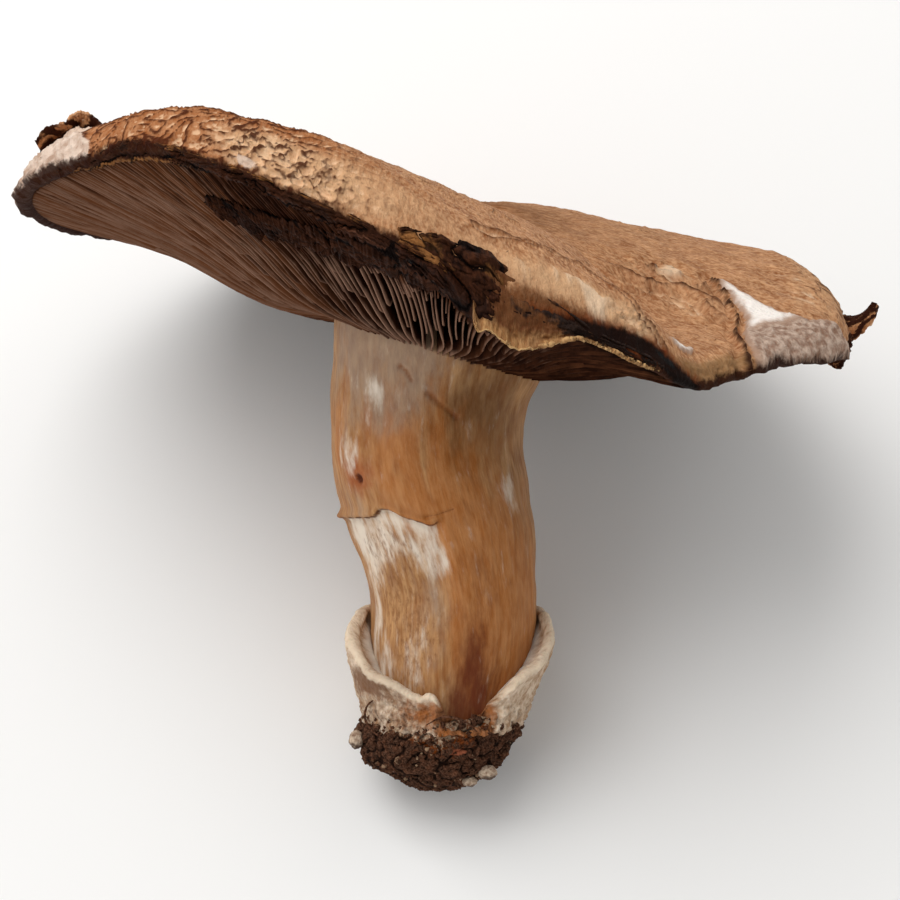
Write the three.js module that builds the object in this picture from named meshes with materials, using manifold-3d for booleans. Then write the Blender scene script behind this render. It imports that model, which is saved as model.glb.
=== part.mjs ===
// A picked portobello mushroom, lying on its side as a loose mushroom comes to rest.
// It is modelled upright first, in millimetres: +X to the right, +Y away, +Z from the foot to the cap,
// with the foot at Z = 0. The whole group is then leaned back onto the table, where it touches at two
// lobes of the cap's far rim and at the back of its foot.
import * as THREE from "three";
import { mergeVertices } from "three/addons/utils/BufferGeometryUtils.js";
import Module from "manifold-3d";

// ---------------------------------------------------------------- driving dimensions, in millimetres
const GAP = 0.35; // clearance between pieces that touch on the real mushroom
const LEAN_DEG = -57.85; // turn about X from upright to lying
const ROLL_DEG = -1.02; // then about Y, so that both lobes of the rim touch

const CAP_CENTRE_X = -2.0; // the stem's own axis at its top; the cap is measured out from it
const CAP_TOP_Z = 103; // skin over the stem
const SKIN_KNOTS = [0, 0.35, 0.65, 0.88]; // share of the radius at centre, inner, mid and shoulder heights
const GILL_KNOTS = [0, 0.25, 0.55, 1]; // share of the way from the stem to the lip

const STEM_TOP_R = 18.0;
const GILL_DEPTH = 5.2; // of a gill over most of its length
const GILL_ROOT = 1.0; // depth that is left at the lip
const GILL_COUNT = 90; // full-length gills
const GILL_CUT = 3.2; // how deep the slots between gills are cut in this solid
const GILL_STEPS = [0.02, 0.2, 0.45, 0.7, 0.88, 0.96]; // where the gill layer's rings stand, 0 at the stem

// One row for each direction round the cap: angle in degrees from +X towards +Y, rim radius, then heights of
// the rim, shoulder, mid and inner skin, of the gills' free edge at mid and inner, and where it meets the stem.
const CAP_STATIONS = [
  [0, 70.5, 79.0, 91.0, 94.0, 98.5, 74.5, 72.5, 71.6],
  [22, 71.0, 84.5, 96.5, 98.7, 101.5, 77.0, 74.0, 73.0],
  [45, 71.5, 88.5, 100.5, 102.5, 104.0, 80.5, 76.5, 75.3],
  [67, 73.0, 92.5, 104.5, 106.0, 105.0, 84.5, 79.5, 77.2],
  [90, 69.0, 98.5, 106.0, 106.3, 105.0, 88.5, 81.5, 78.4],
  [112, 76.5, 100.5, 107.5, 106.5, 104.5, 90.5, 82.5, 79.6],
  [130, 74.0, 102.0, 108.5, 107.0, 104.0, 92.0, 83.5, 80.7],
  [150, 74.0, 100.0, 107.5, 108.0, 103.0, 93.0, 84.5, 82.0],
  [165, 74.0, 100.5, 107.0, 108.0, 103.0, 93.5, 85.0, 82.8],
  [180, 73.0, 102.0, 108.0, 108.0, 103.0, 93.5, 85.6, 82.8],
  [195, 71.0, 103.5, 110.0, 108.5, 103.5, 93.5, 85.0, 82.2],
  [210, 67.5, 105.0, 112.3, 109.0, 104.0, 93.5, 84.5, 81.2],
  [225, 66.0, 106.0, 113.3, 109.7, 104.5, 93.0, 83.5, 79.8],
  [240, 66.0, 102.5, 111.1, 110.1, 104.5, 91.0, 82.0, 78.4],
  [255, 66.0, 95.5, 106.0, 106.4, 104.5, 87.5, 79.5, 77.0],
  [270, 65.5, 87.5, 98.0, 101.3, 103.0, 82.5, 77.0, 75.4],
  [280, 65.0, 80.0, 92.8, 98.0, 101.5, 78.0, 75.5, 74.5],
  [290, 64.5, 76.4, 88.4, 95.0, 100.0, 75.0, 73.8, 73.6],
  [300, 64.0, 72.5, 84.6, 91.8, 99.0, 73.5, 72.5, 72.9],
  [310, 63.0, 69.0, 77.0, 88.5, 97.7, 72.0, 71.8, 72.3],
  [320, 63.0, 70.8, 77.0, 83.0, 96.0, 71.5, 71.3, 71.8],
  [330, 64.5, 73.1, 79.2, 84.5, 96.0, 72.5, 71.2, 71.5],
  [345, 69.0, 74.5, 83.5, 89.5, 97.0, 73.5, 71.8, 71.4],
];
const [RADIUS, RIM, SHOULDER, MID, INNER, GILL_MID, GILL_INNER, JOIN] = [1, 2, 3, 4, 5, 6, 7, 8];

// The stem's top is cut by this sloping plane, parallel to the ring where the gills meet it.
const JOIN_PLANE = { z: 83.3, perX: -0.311, perY: 0.08 };

// Stem sections from the foot up: height, axis X, half width, half depth.
const STEM_SECTIONS = [
  [4.2, -2.0, 5.6, 5.6],
  [6.5, -1.9, 9.4, 9.0],
  [10, -1.5, 11.2, 10.8],
  [14, -0.9, 12.4, 12.0],
  [18, -0.5, 13.4, 13.0],
  [26, 0.2, 14.4, 14.0],
  [34, 0.5, 14.5, 14.0],
  [40, -0.2, 15.1, 14.5],
  [46, -1.5, 16.2, 15.5],
  [53, -3.2, 16.9, 16.0],
  [60, -4.0, 16.8, 16.0],
  [66, -3.3, 17.2, 16.6],
  [70, -2.0, 18.0, 18.0],
];
const STEM_FOOT_Z = 3.6;

// The torn cup round the foot. Its profile, from the foot up: height, outer radius, axis X.
const SHEATH_FOOT_Z = 13.0;
const SHEATH_WALL = 1.0;
const SHEATH_PROFILE = [
  [13, 14.3, -0.9],
  [16, 15.3, -0.8],
  [20, 16.7, -0.6],
  [23, 17.6, -0.2],
  [26, 17.9, 0.1],
  [29, 17.0, 0.2],
  [32, 15.0, 0.4],
];
// Height of its torn lip round the stem, by angle in degrees: high behind and at the sides, low in front.
const SHEATH_LIP = [
  [0, 31],
  [45, 32],
  [90, 32.4],
  [135, 32],
  [180, 31.4],
  [200, 27],
  [220, 21.5],
  [245, 18],
  [270, 16.2],
  [290, 14.6],
  [320, 19.6],
  [345, 27],
];

// Casing soil on the foot, from the bottom up: height, outer radius, axis X.
const SOIL_PROFILE = [
  [0.3, 2.6, -2.4],
  [0.8, 4.6, -2.3],
  [2.6, 8.4, -1.8],
  [4.4, 11.6, -2.9],
  [7.3, 13.4, -2.4],
  [9.8, 14.6, -2.1],
  [12.4, 14.6, -1.2],
];
const SOIL_DEPTH = 0.96; // its half depth, as a share of its half width

// Lumps of chalk half sunk in the soil: centre and half sizes.
const CHALK_LUMPS = [
  { name: "chalk_lump_left", at: [-16.2, -4.0, 9.3], half: [1.3, 1.6, 1.6] },
  { name: "chalk_lump_right", at: [6.4, -7.2, 4.0], half: [1.7, 1.5, 1.2] },
  { name: "chalk_lump_low", at: [3.4, -6.8, 2.4], half: [1.3, 1.3, 0.9] },
];

// The strip of torn veil under the front of the rim, from one angle to the other.
const VEIL = { from: 275, to: 302, dropFrom: 6.0, dropTo: 1.6, thick: 0.8 };

// Curled tips of torn rim: centre line points with a radius at each.
const RIM_TIPS = {
  left_curl: [
    [-57.5, -18, 110.6, 3.2],
    [-62.4, -18, 114.4, 2.4],
    [-66.0, -18, 114.0, 1.6],
    [-69.5, -18, 112.2, 1.1],
  ],
  right_horn: [
    [66, 0, 83.0, 2.6],
    [71, 0, 82.6, 1.7],
    [74.5, 0, 84.8, 0.5],
  ],
  right_tag: [
    [67.3, -4, 80.6, 1.5],
    [69.4, -5, 75.0, 0.6],
  ],
};

const SIDES_ROUND_CAP = 90;
const SIDES_ROUND_STEM = 40;
const COLOURS = {
  cap: 0xb07a4e,
  gills: 0x4a3028,
  stem: 0xb89068,
  sheath: 0xd8c4a8,
  soil: 0x2e1e17,
  chalk: 0xc9b59a,
  veil: 0xb08a55,
};

// ---------------------------------------------------------------- curves
// Cubic through a - b - c - d at t between b and c, with slopes taken across the neighbours.
function cubic(t, step, from, to, slopeFrom, slopeTo) {
  const t2 = t * t;
  const t3 = t2 * t;
  const start = (2 * t3 - 3 * t2 + 1) * from + (t3 - 2 * t2 + t) * step * slopeFrom;
  return start + (3 * t2 - 2 * t3) * to + (t3 - t2) * step * slopeTo;
}

// The value of one column of a table of angles at an angle in radians, smooth all the way round.
function atAngle(column, radians, table = CAP_STATIONS) {
  const n = table.length;
  const degrees = ((THREE.MathUtils.radToDeg(radians) % 360) + 360) % 360;
  let i = n - 1;
  while (table[i][0] > degrees) i -= 1;
  const angle = (k) => table[(k + n) % n][0] + 360 * Math.floor(k / n);
  const value = (k) => table[(k + n) % n][column];
  const slope = (k) => (value(k + 1) - value(k - 1)) / (angle(k + 1) - angle(k - 1));
  const step = angle(i + 1) - angle(i);
  return cubic((degrees - angle(i)) / step, step, value(i), value(i + 1), slope(i), slope(i + 1));
}

// A smooth open curve through values at knots, and the columns after the first of a table, along its first.
function along(knots, values, x) {
  const last = knots.length - 1;
  const at = THREE.MathUtils.clamp(x, knots[0], knots[last]);
  let i = 0;
  while (i < last - 1 && at >= knots[i + 1]) i += 1;
  const slope = (k) => {
    const a = Math.max(k - 1, 0);
    const b = Math.min(k + 1, last);
    return (values[b] - values[a]) / (knots[b] - knots[a]);
  };
  const step = knots[i + 1] - knots[i];
  return cubic((at - knots[i]) / step, step, values[i], values[i + 1], slope(i), slope(i + 1));
}

const columns = (table, x) => {
  const knots = table.map((row) => row[0]);
  return table[0].slice(1).map((_, k) => along(knots, table.map((row) => row[k + 1]), x));
};

const polar = (angle, r, z, x = CAP_CENTRE_X) => [x + r * Math.cos(angle), r * Math.sin(angle), z];

// ---------------------------------------------------------------- the mushroom's surfaces
// Height of the skin at a share s of the rim's radius: a smooth body out to the shoulder, then a quarter
// ellipse down to the rim.
function skinZ(angle, s) {
  const [rim, shoulder, mid, inner] = [RIM, SHOULDER, MID, INNER].map((c) => atAngle(c, angle));
  const edge = SKIN_KNOTS[3];
  const body = along(SKIN_KNOTS, [CAP_TOP_Z, inner, mid, shoulder], Math.min(s, edge));
  if (s <= edge) return body;
  const k = (s - edge) / (1 - edge);
  const carry = ((shoulder - mid) / (edge - SKIN_KNOTS[2])) * (s - edge) * (1 - k) * 0.6;
  return shoulder + carry + (rim + 1 - shoulder) * (1 - Math.sqrt(1 - k * k));
}

const lipRadius = (angle) => 0.97 * atAngle(RADIUS, angle);

// Radius and height of the gills' free edge, s from the stem to the lip.
function gillEdge(angle, s) {
  const heights = [JOIN, GILL_INNER, GILL_MID, RIM].map((c) => atAngle(c, angle));
  const r = THREE.MathUtils.lerp(STEM_TOP_R + GAP, lipRadius(angle), s);
  return [r, along(GILL_KNOTS, heights, s)];
}

const gillDepth = (s) => GILL_ROOT + GILL_DEPTH * (1 - s ** 5);
const joinPlane = (x, y) => JOIN_PLANE.z + JOIN_PLANE.perX * (x - CAP_CENTRE_X) + JOIN_PLANE.perY * y;

const stemSection = (z) => columns(STEM_SECTIONS, z);

// ---------------------------------------------------------------- solids from stacked rings
// Each ring is a list of points, all the same length. `ends` closes the stack with a pole at each end;
// without it the last ring joins the first, as in a tube bent round on itself.
function ringSolid(rings, ends) {
  const sides = rings[0].length;
  const points = rings.flat();
  const faces = [];
  const quad = (a, b, c, d) => faces.push(a, b, c, a, c, d);
  const bands = ends ? rings.length - 1 : rings.length;
  for (let k = 0; k < bands; k += 1) {
    const next = (k + 1) % rings.length;
    for (let i = 0; i < sides; i += 1) {
      const j = (i + 1) % sides;
      quad(k * sides + i, k * sides + j, next * sides + j, next * sides + i);
    }
  }
  if (ends) {
    const last = (rings.length - 1) * sides;
    points.push(ends[0], ends[1]);
    for (let i = 0; i < sides; i += 1) {
      const j = (i + 1) % sides;
      faces.push(points.length - 2, j, i);
      faces.push(points.length - 1, last + i, last + j);
    }
  }
  const geometry = new THREE.BufferGeometry();
  geometry.setAttribute("position", new THREE.Float32BufferAttribute(points.flat(), 3));
  geometry.setIndex(faces);
  geometry.computeVertexNormals();
  return geometry;
}

const ringOf = (sides, at) => Array.from({ length: sides }, (_, i) => at((2 * Math.PI * i) / sides, i));

// ---------------------------------------------------------------- pieces
// Flesh and skin of the cap in one: underside from the stem out to the lip, round the rim, and the skin back in.
function capBody() {
  const rings = [];
  rings.push(
    ringOf(SIDES_ROUND_CAP, (a) => {
      const [x, y] = polar(a, 9, 0);
      return [x, y, joinPlane(x, y)];
    }),
  );
  for (const s of GILL_STEPS) {
    rings.push(
      ringOf(SIDES_ROUND_CAP, (a) => {
        const [r, z] = gillEdge(a, s);
        const [x, y] = polar(a, r, 0);
        const floor = z + gillDepth(s);
        return [x, y, s === GILL_STEPS[0] ? Math.max(floor, joinPlane(x, y)) : floor];
      }),
    );
  }
  rings.push(ringOf(SIDES_ROUND_CAP, (a) => polar(a, lipRadius(a), atAngle(RIM, a) + 0.5)));
  rings.push(ringOf(SIDES_ROUND_CAP, (a) => polar(a, 0.985 * atAngle(RADIUS, a), atAngle(RIM, a))));
  for (const s of [1, 0.99, 0.965, 0.93, 0.88, 0.8, 0.7, 0.58, 0.45, 0.32, 0.18]) {
    rings.push(ringOf(SIDES_ROUND_CAP, (a) => polar(a, s * atAngle(RADIUS, a), skinZ(a, s))));
  }
  return ringSolid(rings, [
    [CAP_CENTRE_X, 0, JOIN_PLANE.z],
    [CAP_CENTRE_X, 0, CAP_TOP_Z],
  ]);
}

// A taper along a few points, twice as broad as it is thick, for a curled tip of rim.
function taper(points) {
  const sides = 10;
  const centres = points.map(([x, y, z]) => new THREE.Vector3(x, y, z));
  const axis = centres[centres.length - 1].clone().sub(centres[0]).normalize();
  const side = new THREE.Vector3(0, 1, 0);
  const up = side.clone().cross(axis).normalize();
  const rings = points.map(([x, y, z, r]) =>
    ringOf(sides, (a) => {
      const out = up.clone().multiplyScalar(r * Math.cos(a)).addScaledVector(side, 2 * r * Math.sin(a));
      return [x + out.x, y + out.y, z + out.z];
    }),
  );
  const first = centres[0].clone().addScaledVector(axis, -points[0][3] / 2);
  const tip = centres[centres.length - 1].clone().addScaledVector(axis, points[points.length - 1][3]);
  return ringSolid(rings, [first.toArray(), tip.toArray()]);
}

// The gill layer: a shallow cone of radial blades hanging from the flesh, open in the middle for the stem.
function gillLayer() {
  const sides = 2 * GILL_COUNT;
  const top = [...GILL_STEPS].reverse().map((s) =>
    ringOf(sides, (a) => {
      const [r, z] = gillEdge(a, s);
      return polar(a, r, z + gillDepth(s) - 1.4 * GAP);
    }),
  );
  const blades = GILL_STEPS.map((s) =>
    ringOf(sides, (a, i) => {
      const [r, z] = gillEdge(a, s);
      const slot = i % 2 ? Math.min(GILL_CUT, gillDepth(s) - 2 * GAP - 0.4) : 0;
      return polar(a, r, z + slot);
    }),
  );
  return ringSolid([...top, ...blades], null);
}

function stemBody() {
  const rings = [];
  const heights = [...STEM_SECTIONS.map((row) => row[0]), 30, 43, 50, 56.5].sort((p, q) => p - q);
  for (const z of heights) {
    const [x, halfWidth, halfDepth] = stemSection(z);
    rings.push(ringOf(SIDES_ROUND_STEM, (a) => [x + halfWidth * Math.cos(a), halfDepth * Math.sin(a), z]));
  }
  for (const [r, below] of [
    [STEM_TOP_R, 2.5],
    [STEM_TOP_R - 0.6, GAP],
  ]) {
    rings.push(
      ringOf(SIDES_ROUND_STEM, (a) => {
        const [x, y] = polar(a, r, 0);
        return [x, y, joinPlane(x, y) - below];
      }),
    );
  }
  return ringSolid(rings, [
    [STEM_SECTIONS[0][1], 0, STEM_FOOT_Z],
    [CAP_CENTRE_X, 0, JOIN_PLANE.z - GAP],
  ]);
}

function sheathCup() {
  const wall = (t, inset) =>
    ringOf(48, (a) => {
      const z = THREE.MathUtils.lerp(SHEATH_FOOT_Z, atAngle(1, a, SHEATH_LIP), t);
      const [outer, x] = columns(SHEATH_PROFILE, z);
      const [stemX, halfWidth] = stemSection(z);
      const clear = halfWidth + GAP + Math.abs(stemX - x);
      const r = Math.max(outer - SHEATH_WALL, clear) + (inset ? 0 : SHEATH_WALL);
      return [x + r * Math.cos(a), r * Math.sin(a), z];
    });
  const outside = [0, 0.3, 0.6, 0.85, 1].map((t) => wall(t, false));
  const inside = [1, 0.7, 0.35, 0].map((t) => wall(t, true));
  return ringSolid([...outside, ...inside], null);
}

// The soil wraps the foot of the stem with the usual clearance, and has a socket for each chalk lump.
function soilClump() {
  const lumpy = (a, z) => 1 + 0.03 * Math.sin(3 * a + 0.4 * z) + 0.02 * Math.sin(7 * a - 0.9 * z);
  const outside = SOIL_PROFILE.map(([z, radius, x]) =>
    ringOf(SIDES_ROUND_STEM, (a) => {
      const r = radius * lumpy(a, z);
      return [x + r * Math.cos(a), SOIL_DEPTH * r * Math.sin(a), z];
    }),
  );
  const inside = [12.2, 10, 6.5, 4.2].map((z) => {
    const [x, halfWidth, halfDepth] = stemSection(z);
    const clear = 1.3 * GAP;
    return ringOf(SIDES_ROUND_STEM, (a) => [
      x + (halfWidth + clear) * Math.cos(a),
      (halfDepth + clear) * Math.sin(a),
      z - GAP,
    ]);
  });
  const ends = [
    [SOIL_PROFILE[0][2], 0, 0],
    [STEM_SECTIONS[0][1], 0, STEM_FOOT_Z - 1.6 * GAP],
  ];
  let solid = toSolid(ringSolid([...outside, ...inside], ends));
  for (const lump of CHALK_LUMPS) solid = solid.subtract(toSolid(chalkLump(lump, GAP)));
  return toGeometry(solid);
}

// A hanging strip of veil: a box section swept along the rim, hanging clear outside the gills.
function veilStrip() {
  const steps = 14;
  const sections = [];
  for (let i = 0; i <= steps; i += 1) {
    const t = i / steps;
    const a = THREE.MathUtils.degToRad(THREE.MathUtils.lerp(VEIL.from, VEIL.to, t));
    const outer = atAngle(RADIUS, a);
    const top = atAngle(RIM, a) - GAP;
    const drop = THREE.MathUtils.lerp(VEIL.dropFrom, VEIL.dropTo, t);
    sections.push([
      polar(a, outer, top),
      polar(a, outer, top - drop),
      polar(a, outer - VEIL.thick, top - drop),
      polar(a, outer - VEIL.thick, top),
    ]);
  }
  const middle = (s) => [0, 1, 2].map((k) => s.reduce((sum, p) => sum + p[k], 0) / s.length);
  return ringSolid(sections, [middle(sections[0]), middle(sections[steps])]);
}

function chalkLump({ at, half }, grown = 0) {
  const geometry = new THREE.IcosahedronGeometry(1, 1);
  geometry.scale(...half.map((size) => size + grown));
  geometry.translate(...at);
  return geometry;
}

// ---------------------------------------------------------------- joining
const wasm = await Module();
wasm.setup();

function toSolid(geometry) {
  const bare = geometry.clone();
  bare.deleteAttribute("normal");
  bare.deleteAttribute("uv");
  const merged = mergeVertices(bare, 1e-4);
  return new wasm.Manifold(
    new wasm.Mesh({
      numProp: 3,
      vertProperties: merged.attributes.position.array,
      triVerts: new Uint32Array(merged.index.array),
    }),
  );
}

function toGeometry(solid) {
  const made = solid.getMesh();
  const geometry = new THREE.BufferGeometry();
  geometry.setAttribute("position", new THREE.BufferAttribute(made.vertProperties, 3));
  geometry.setIndex(new THREE.BufferAttribute(made.triVerts, 1));
  geometry.computeVertexNormals();
  return geometry;
}

// The cap and its curled tips grew as one piece.
function capWithTips() {
  let solid = toSolid(capBody());
  for (const points of Object.values(RIM_TIPS)) solid = solid.add(toSolid(taper(points)));
  return toGeometry(solid);
}

// ---------------------------------------------------------------- the part
function piece(name, geometry, colour, roughness) {
  const material = new THREE.MeshStandardMaterial({ color: colour, roughness, metalness: 0 });
  const mesh = new THREE.Mesh(geometry, material);
  mesh.name = name;
  return mesh;
}

const upright = new THREE.Group();
upright.add(
  piece("cap", capWithTips(), COLOURS.cap, 0.75),
  piece("gills", gillLayer(), COLOURS.gills, 0.8),
  piece("stem", stemBody(), COLOURS.stem, 0.6),
  piece("sheath", sheathCup(), COLOURS.sheath, 0.7),
  piece("casing_soil", soilClump(), COLOURS.soil, 0.95),
  piece("veil_strip", veilStrip(), COLOURS.veil, 0.7),
);
for (const lump of CHALK_LUMPS) upright.add(piece(lump.name, chalkLump(lump), COLOURS.chalk, 0.9));
upright.rotation.set(THREE.MathUtils.degToRad(LEAN_DEG), THREE.MathUtils.degToRad(ROLL_DEG), 0, "YXZ");

// The origin is the middle of the space that the lying mushroom takes up, on the table.
const part = new THREE.Group();
part.add(upright);
part.updateMatrixWorld(true);
const space = new THREE.Box3().setFromObject(part, true);
const middle = space.getCenter(new THREE.Vector3());
upright.position.set(-middle.x, -middle.y, -space.min.z);

export default part;
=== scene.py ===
"""Looks of a picked portobello mushroom that lies on a table.

Every surface is worked out upright, in millimetres: +X to the right, +Y away, +Z from the foot to the cap,
with the foot at Z = 0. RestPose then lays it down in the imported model's own frame, in metres. Angles round
the cap and the stem are counted from +X towards +Y, so 270 degrees is the near side and 180 the left one.
"""

from __future__ import annotations

import itertools
import logging
from collections.abc import Sequence
from dataclasses import dataclass, field
from enum import Enum

import bpy
import numpy as np
from mathutils import Matrix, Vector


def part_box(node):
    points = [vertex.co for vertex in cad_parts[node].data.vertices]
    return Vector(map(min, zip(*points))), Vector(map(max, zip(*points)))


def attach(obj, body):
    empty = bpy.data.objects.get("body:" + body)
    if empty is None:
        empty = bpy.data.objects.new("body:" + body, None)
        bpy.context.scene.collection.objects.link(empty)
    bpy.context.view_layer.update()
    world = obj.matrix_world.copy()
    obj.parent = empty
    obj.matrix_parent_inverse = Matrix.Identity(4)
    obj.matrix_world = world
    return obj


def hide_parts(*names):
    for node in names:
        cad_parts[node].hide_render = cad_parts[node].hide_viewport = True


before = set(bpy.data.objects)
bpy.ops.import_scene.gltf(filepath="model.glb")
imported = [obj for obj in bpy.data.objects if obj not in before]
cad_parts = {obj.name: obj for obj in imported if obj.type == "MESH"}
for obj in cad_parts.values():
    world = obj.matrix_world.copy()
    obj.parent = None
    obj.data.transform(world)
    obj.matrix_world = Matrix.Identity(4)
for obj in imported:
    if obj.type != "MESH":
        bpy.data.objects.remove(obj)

LOG = logging.getLogger("portobello")
MM = 0.001
TINY = 1e-9
# How far above the table every piece stays, in metres, so that none of its faces lies in the table's own.
TABLE_GAP = 0.00005
# How red, green and blue light spread under moist flesh, and how far, in metres.
FLESH_SPREAD, FLESH_DEPTH = (1.0, 0.5, 0.3), 1.5 * MM
# Noise: how strong its finer layers are, and how many of them move a stain's border.
NOISE_ROUGHNESS, STAIN_DETAIL = 0.6, 5.0
Array = np.ndarray
Spot = tuple[float, float, float, float]
Socket = bpy.types.NodeSocket
Tree = bpy.types.NodeTree


# ---------------------------------------------------------------- numbers and curves
def unit(values: Array | float) -> Array:
    """Values held between 0 and 1."""
    return np.clip(values, 0.0, 1.0)


def ease(values: Array | float, start: float, end: float) -> Array:
    """A smooth step from 0 at start to 1 at end.

    Args:
        values: where to read the step.
        start: the value at which it begins; it may lie above end, for a falling step.
        end: the value at which it is complete.

    Returns:
        3t^2 - 2t^3 of the share t of the way from start to end.
    """
    t = unit((np.asarray(values) - start) / (end - start))
    return t * t * (3 - 2 * t)


def bump(values: Array, centre: float, width: float) -> Array:
    """A bell curve of height 1, exp(-((v - centre) / width)^2)."""
    return np.exp(-(((values - centre) / width) ** 2))


def turn_from(angle: Array, degrees: float) -> Array:
    """The signed number of degrees from a direction to each angle, from -180 to 180."""
    return (np.degrees(angle) - degrees + 180) % 360 - 180


def spot(u: Array, v: Array, at: Spot) -> Array:
    """A bell curve in two directions, 1 at its centre at[0], at[1], with half widths at[2] and at[3]."""
    return np.exp(-(((u - at[0]) / at[2]) ** 2) - ((v - at[1]) / at[3]) ** 2)


def blob(angle: Array, along: Array, at: Spot) -> Array:
    """A soft round patch on a surface.

    Args:
        angle: angle of each point in radians.
        along: its height, or its distance from an edge, in mm.
        at: the patch's angle in degrees, its place along, and its half sizes in degrees and mm.

    Returns:
        A bell curve in both directions, 1 in the middle.
    """
    return spot(turn_from(angle, at[0]), along, (0.0, *at[1:]))


def sector(angle: Array, middle: float, rise: tuple[float, float], fall: tuple[float, float]) -> Array:
    """A share of 1 round a direction, eased in over rise and out over fall, in degrees from it."""
    turn = turn_from(angle, middle)
    return ease(turn, *rise) * ease(turn, *fall)


def unit_length(vectors: Array) -> Array:
    """Each vector divided by its own length."""
    return vectors / np.maximum(np.linalg.norm(vectors, axis=-1, keepdims=True), TINY)


def around(radius: float, angle: Array, along: Array | float) -> Array:
    """Coordinates in mm that run round an axis at a radius, and along it."""
    return np.stack(np.broadcast_arrays(radius * np.cos(angle), radius * np.sin(angle), along), -1)


def sheet_grid(stations: int, across: int) -> tuple[Array, Array]:
    """Shares from 0 to 1 along a strip, as a column, and across it, as a row."""
    return np.linspace(0, 1, stations)[:, None], np.linspace(0, 1, across)[None, :]


def near_side(count: int, crowding: float = 0.35) -> Array:
    """Angles round a ring, closer together on the near side: 2 pi u - c cos(2 pi u)."""
    u = 2 * np.pi * np.arange(count) / count
    return u - crowding * np.cos(u)


def hermite(t: Array, step: Array, ends: tuple[Array, Array], slopes: tuple[Array, Array]) -> Array:
    """A cubic between two values that leaves and arrives with given slopes.

    Args:
        t: share of the way, from 0 to 1.
        step: length of the way, in the unit that the slopes are per.
        ends: the first and the last value.
        slopes: the slope at each.

    Returns:
        The ends blended by 3t^2 - 2t^3, plus each slope times its own cubic.
    """
    rise = (3 - 2 * t) * t * t
    leave, arrive = (t - 1) ** 2 * t * step * slopes[0], (t - 1) * t * t * step * slopes[1]
    return ends[0] * (1 - rise) + ends[1] * rise + leave + arrive


def rail(knots: Sequence[float], values: Sequence[Array | float], x: Array) -> Array:
    """A smooth open curve through values at knots.

    Args:
        knots: rising places.
        values: one number or array for each knot.
        x: where to read the curve; it stays level past the ends.

    Returns:
        A cubic between each two knots, with each slope taken across the knot's neighbours.
    """
    last = len(knots) - 1
    ends = [(max(k - 1, 0), min(k + 1, last)) for k in range(last + 1)]
    slopes = [(values[b] - values[a]) / (knots[b] - knots[a]) for a, b in ends]
    x = np.clip(x, knots[0], knots[last])
    out = np.zeros(np.broadcast(x, *values).shape)
    for k in range(last):
        inside = (x >= knots[k]) & ((x < knots[k + 1]) | (k == last - 1))
        step = knots[k + 1] - knots[k]
        piece = hermite(unit((x - knots[k]) / step), step, (values[k], values[k + 1]), (slopes[k], slopes[k + 1]))
        out = np.where(inside, piece, out)
    return out


def read_table(table: Sequence[Sequence[float]] | Array, x: Array) -> list[Array]:
    """Every further column of a table, read smoothly at values of its first one."""
    rows = np.array(table, float)
    return [rail(list(rows[:, 0]), list(rows[:, k]), x) for k in range(1, rows.shape[1])]


def smooth_line(points: Array, t: Array) -> Array:
    """A smooth line through points, read at shares t of the way from the first to the last."""
    knots = list(np.linspace(0, 1, len(points)))
    return np.stack([rail(knots, list(points[:, k]), t) for k in range(3)], -1)


def round_rail(table: Array, column: int, angle: Array) -> Array:
    """One column of a table of directions, smooth all the way round.

    Args:
        table: rows that begin with their direction in degrees, rising.
        column: the column to read.
        angle: where to read it, in radians.

    Returns:
        A cubic between each two rows, with each slope taken across the row's neighbours.
    """
    n, degrees = len(table), np.degrees(angle) % 360
    i = np.searchsorted(np.append(table[:, 0], 360 + table[0, 0]), degrees, side="right") - 1
    rows = [i - 1, i, i + 1, i + 2]
    place = [table[k % n, 0] + 360.0 * (k // n) for k in rows]
    value = [table[k % n, column] for k in rows]
    leave, arrive = ((value[k + 2] - value[k]) / (place[k + 2] - place[k]) for k in (0, 1))
    step = place[2] - place[1]
    return hermite((degrees - place[1]) / step, step, (value[1], value[2]), (leave, arrive))


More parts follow.
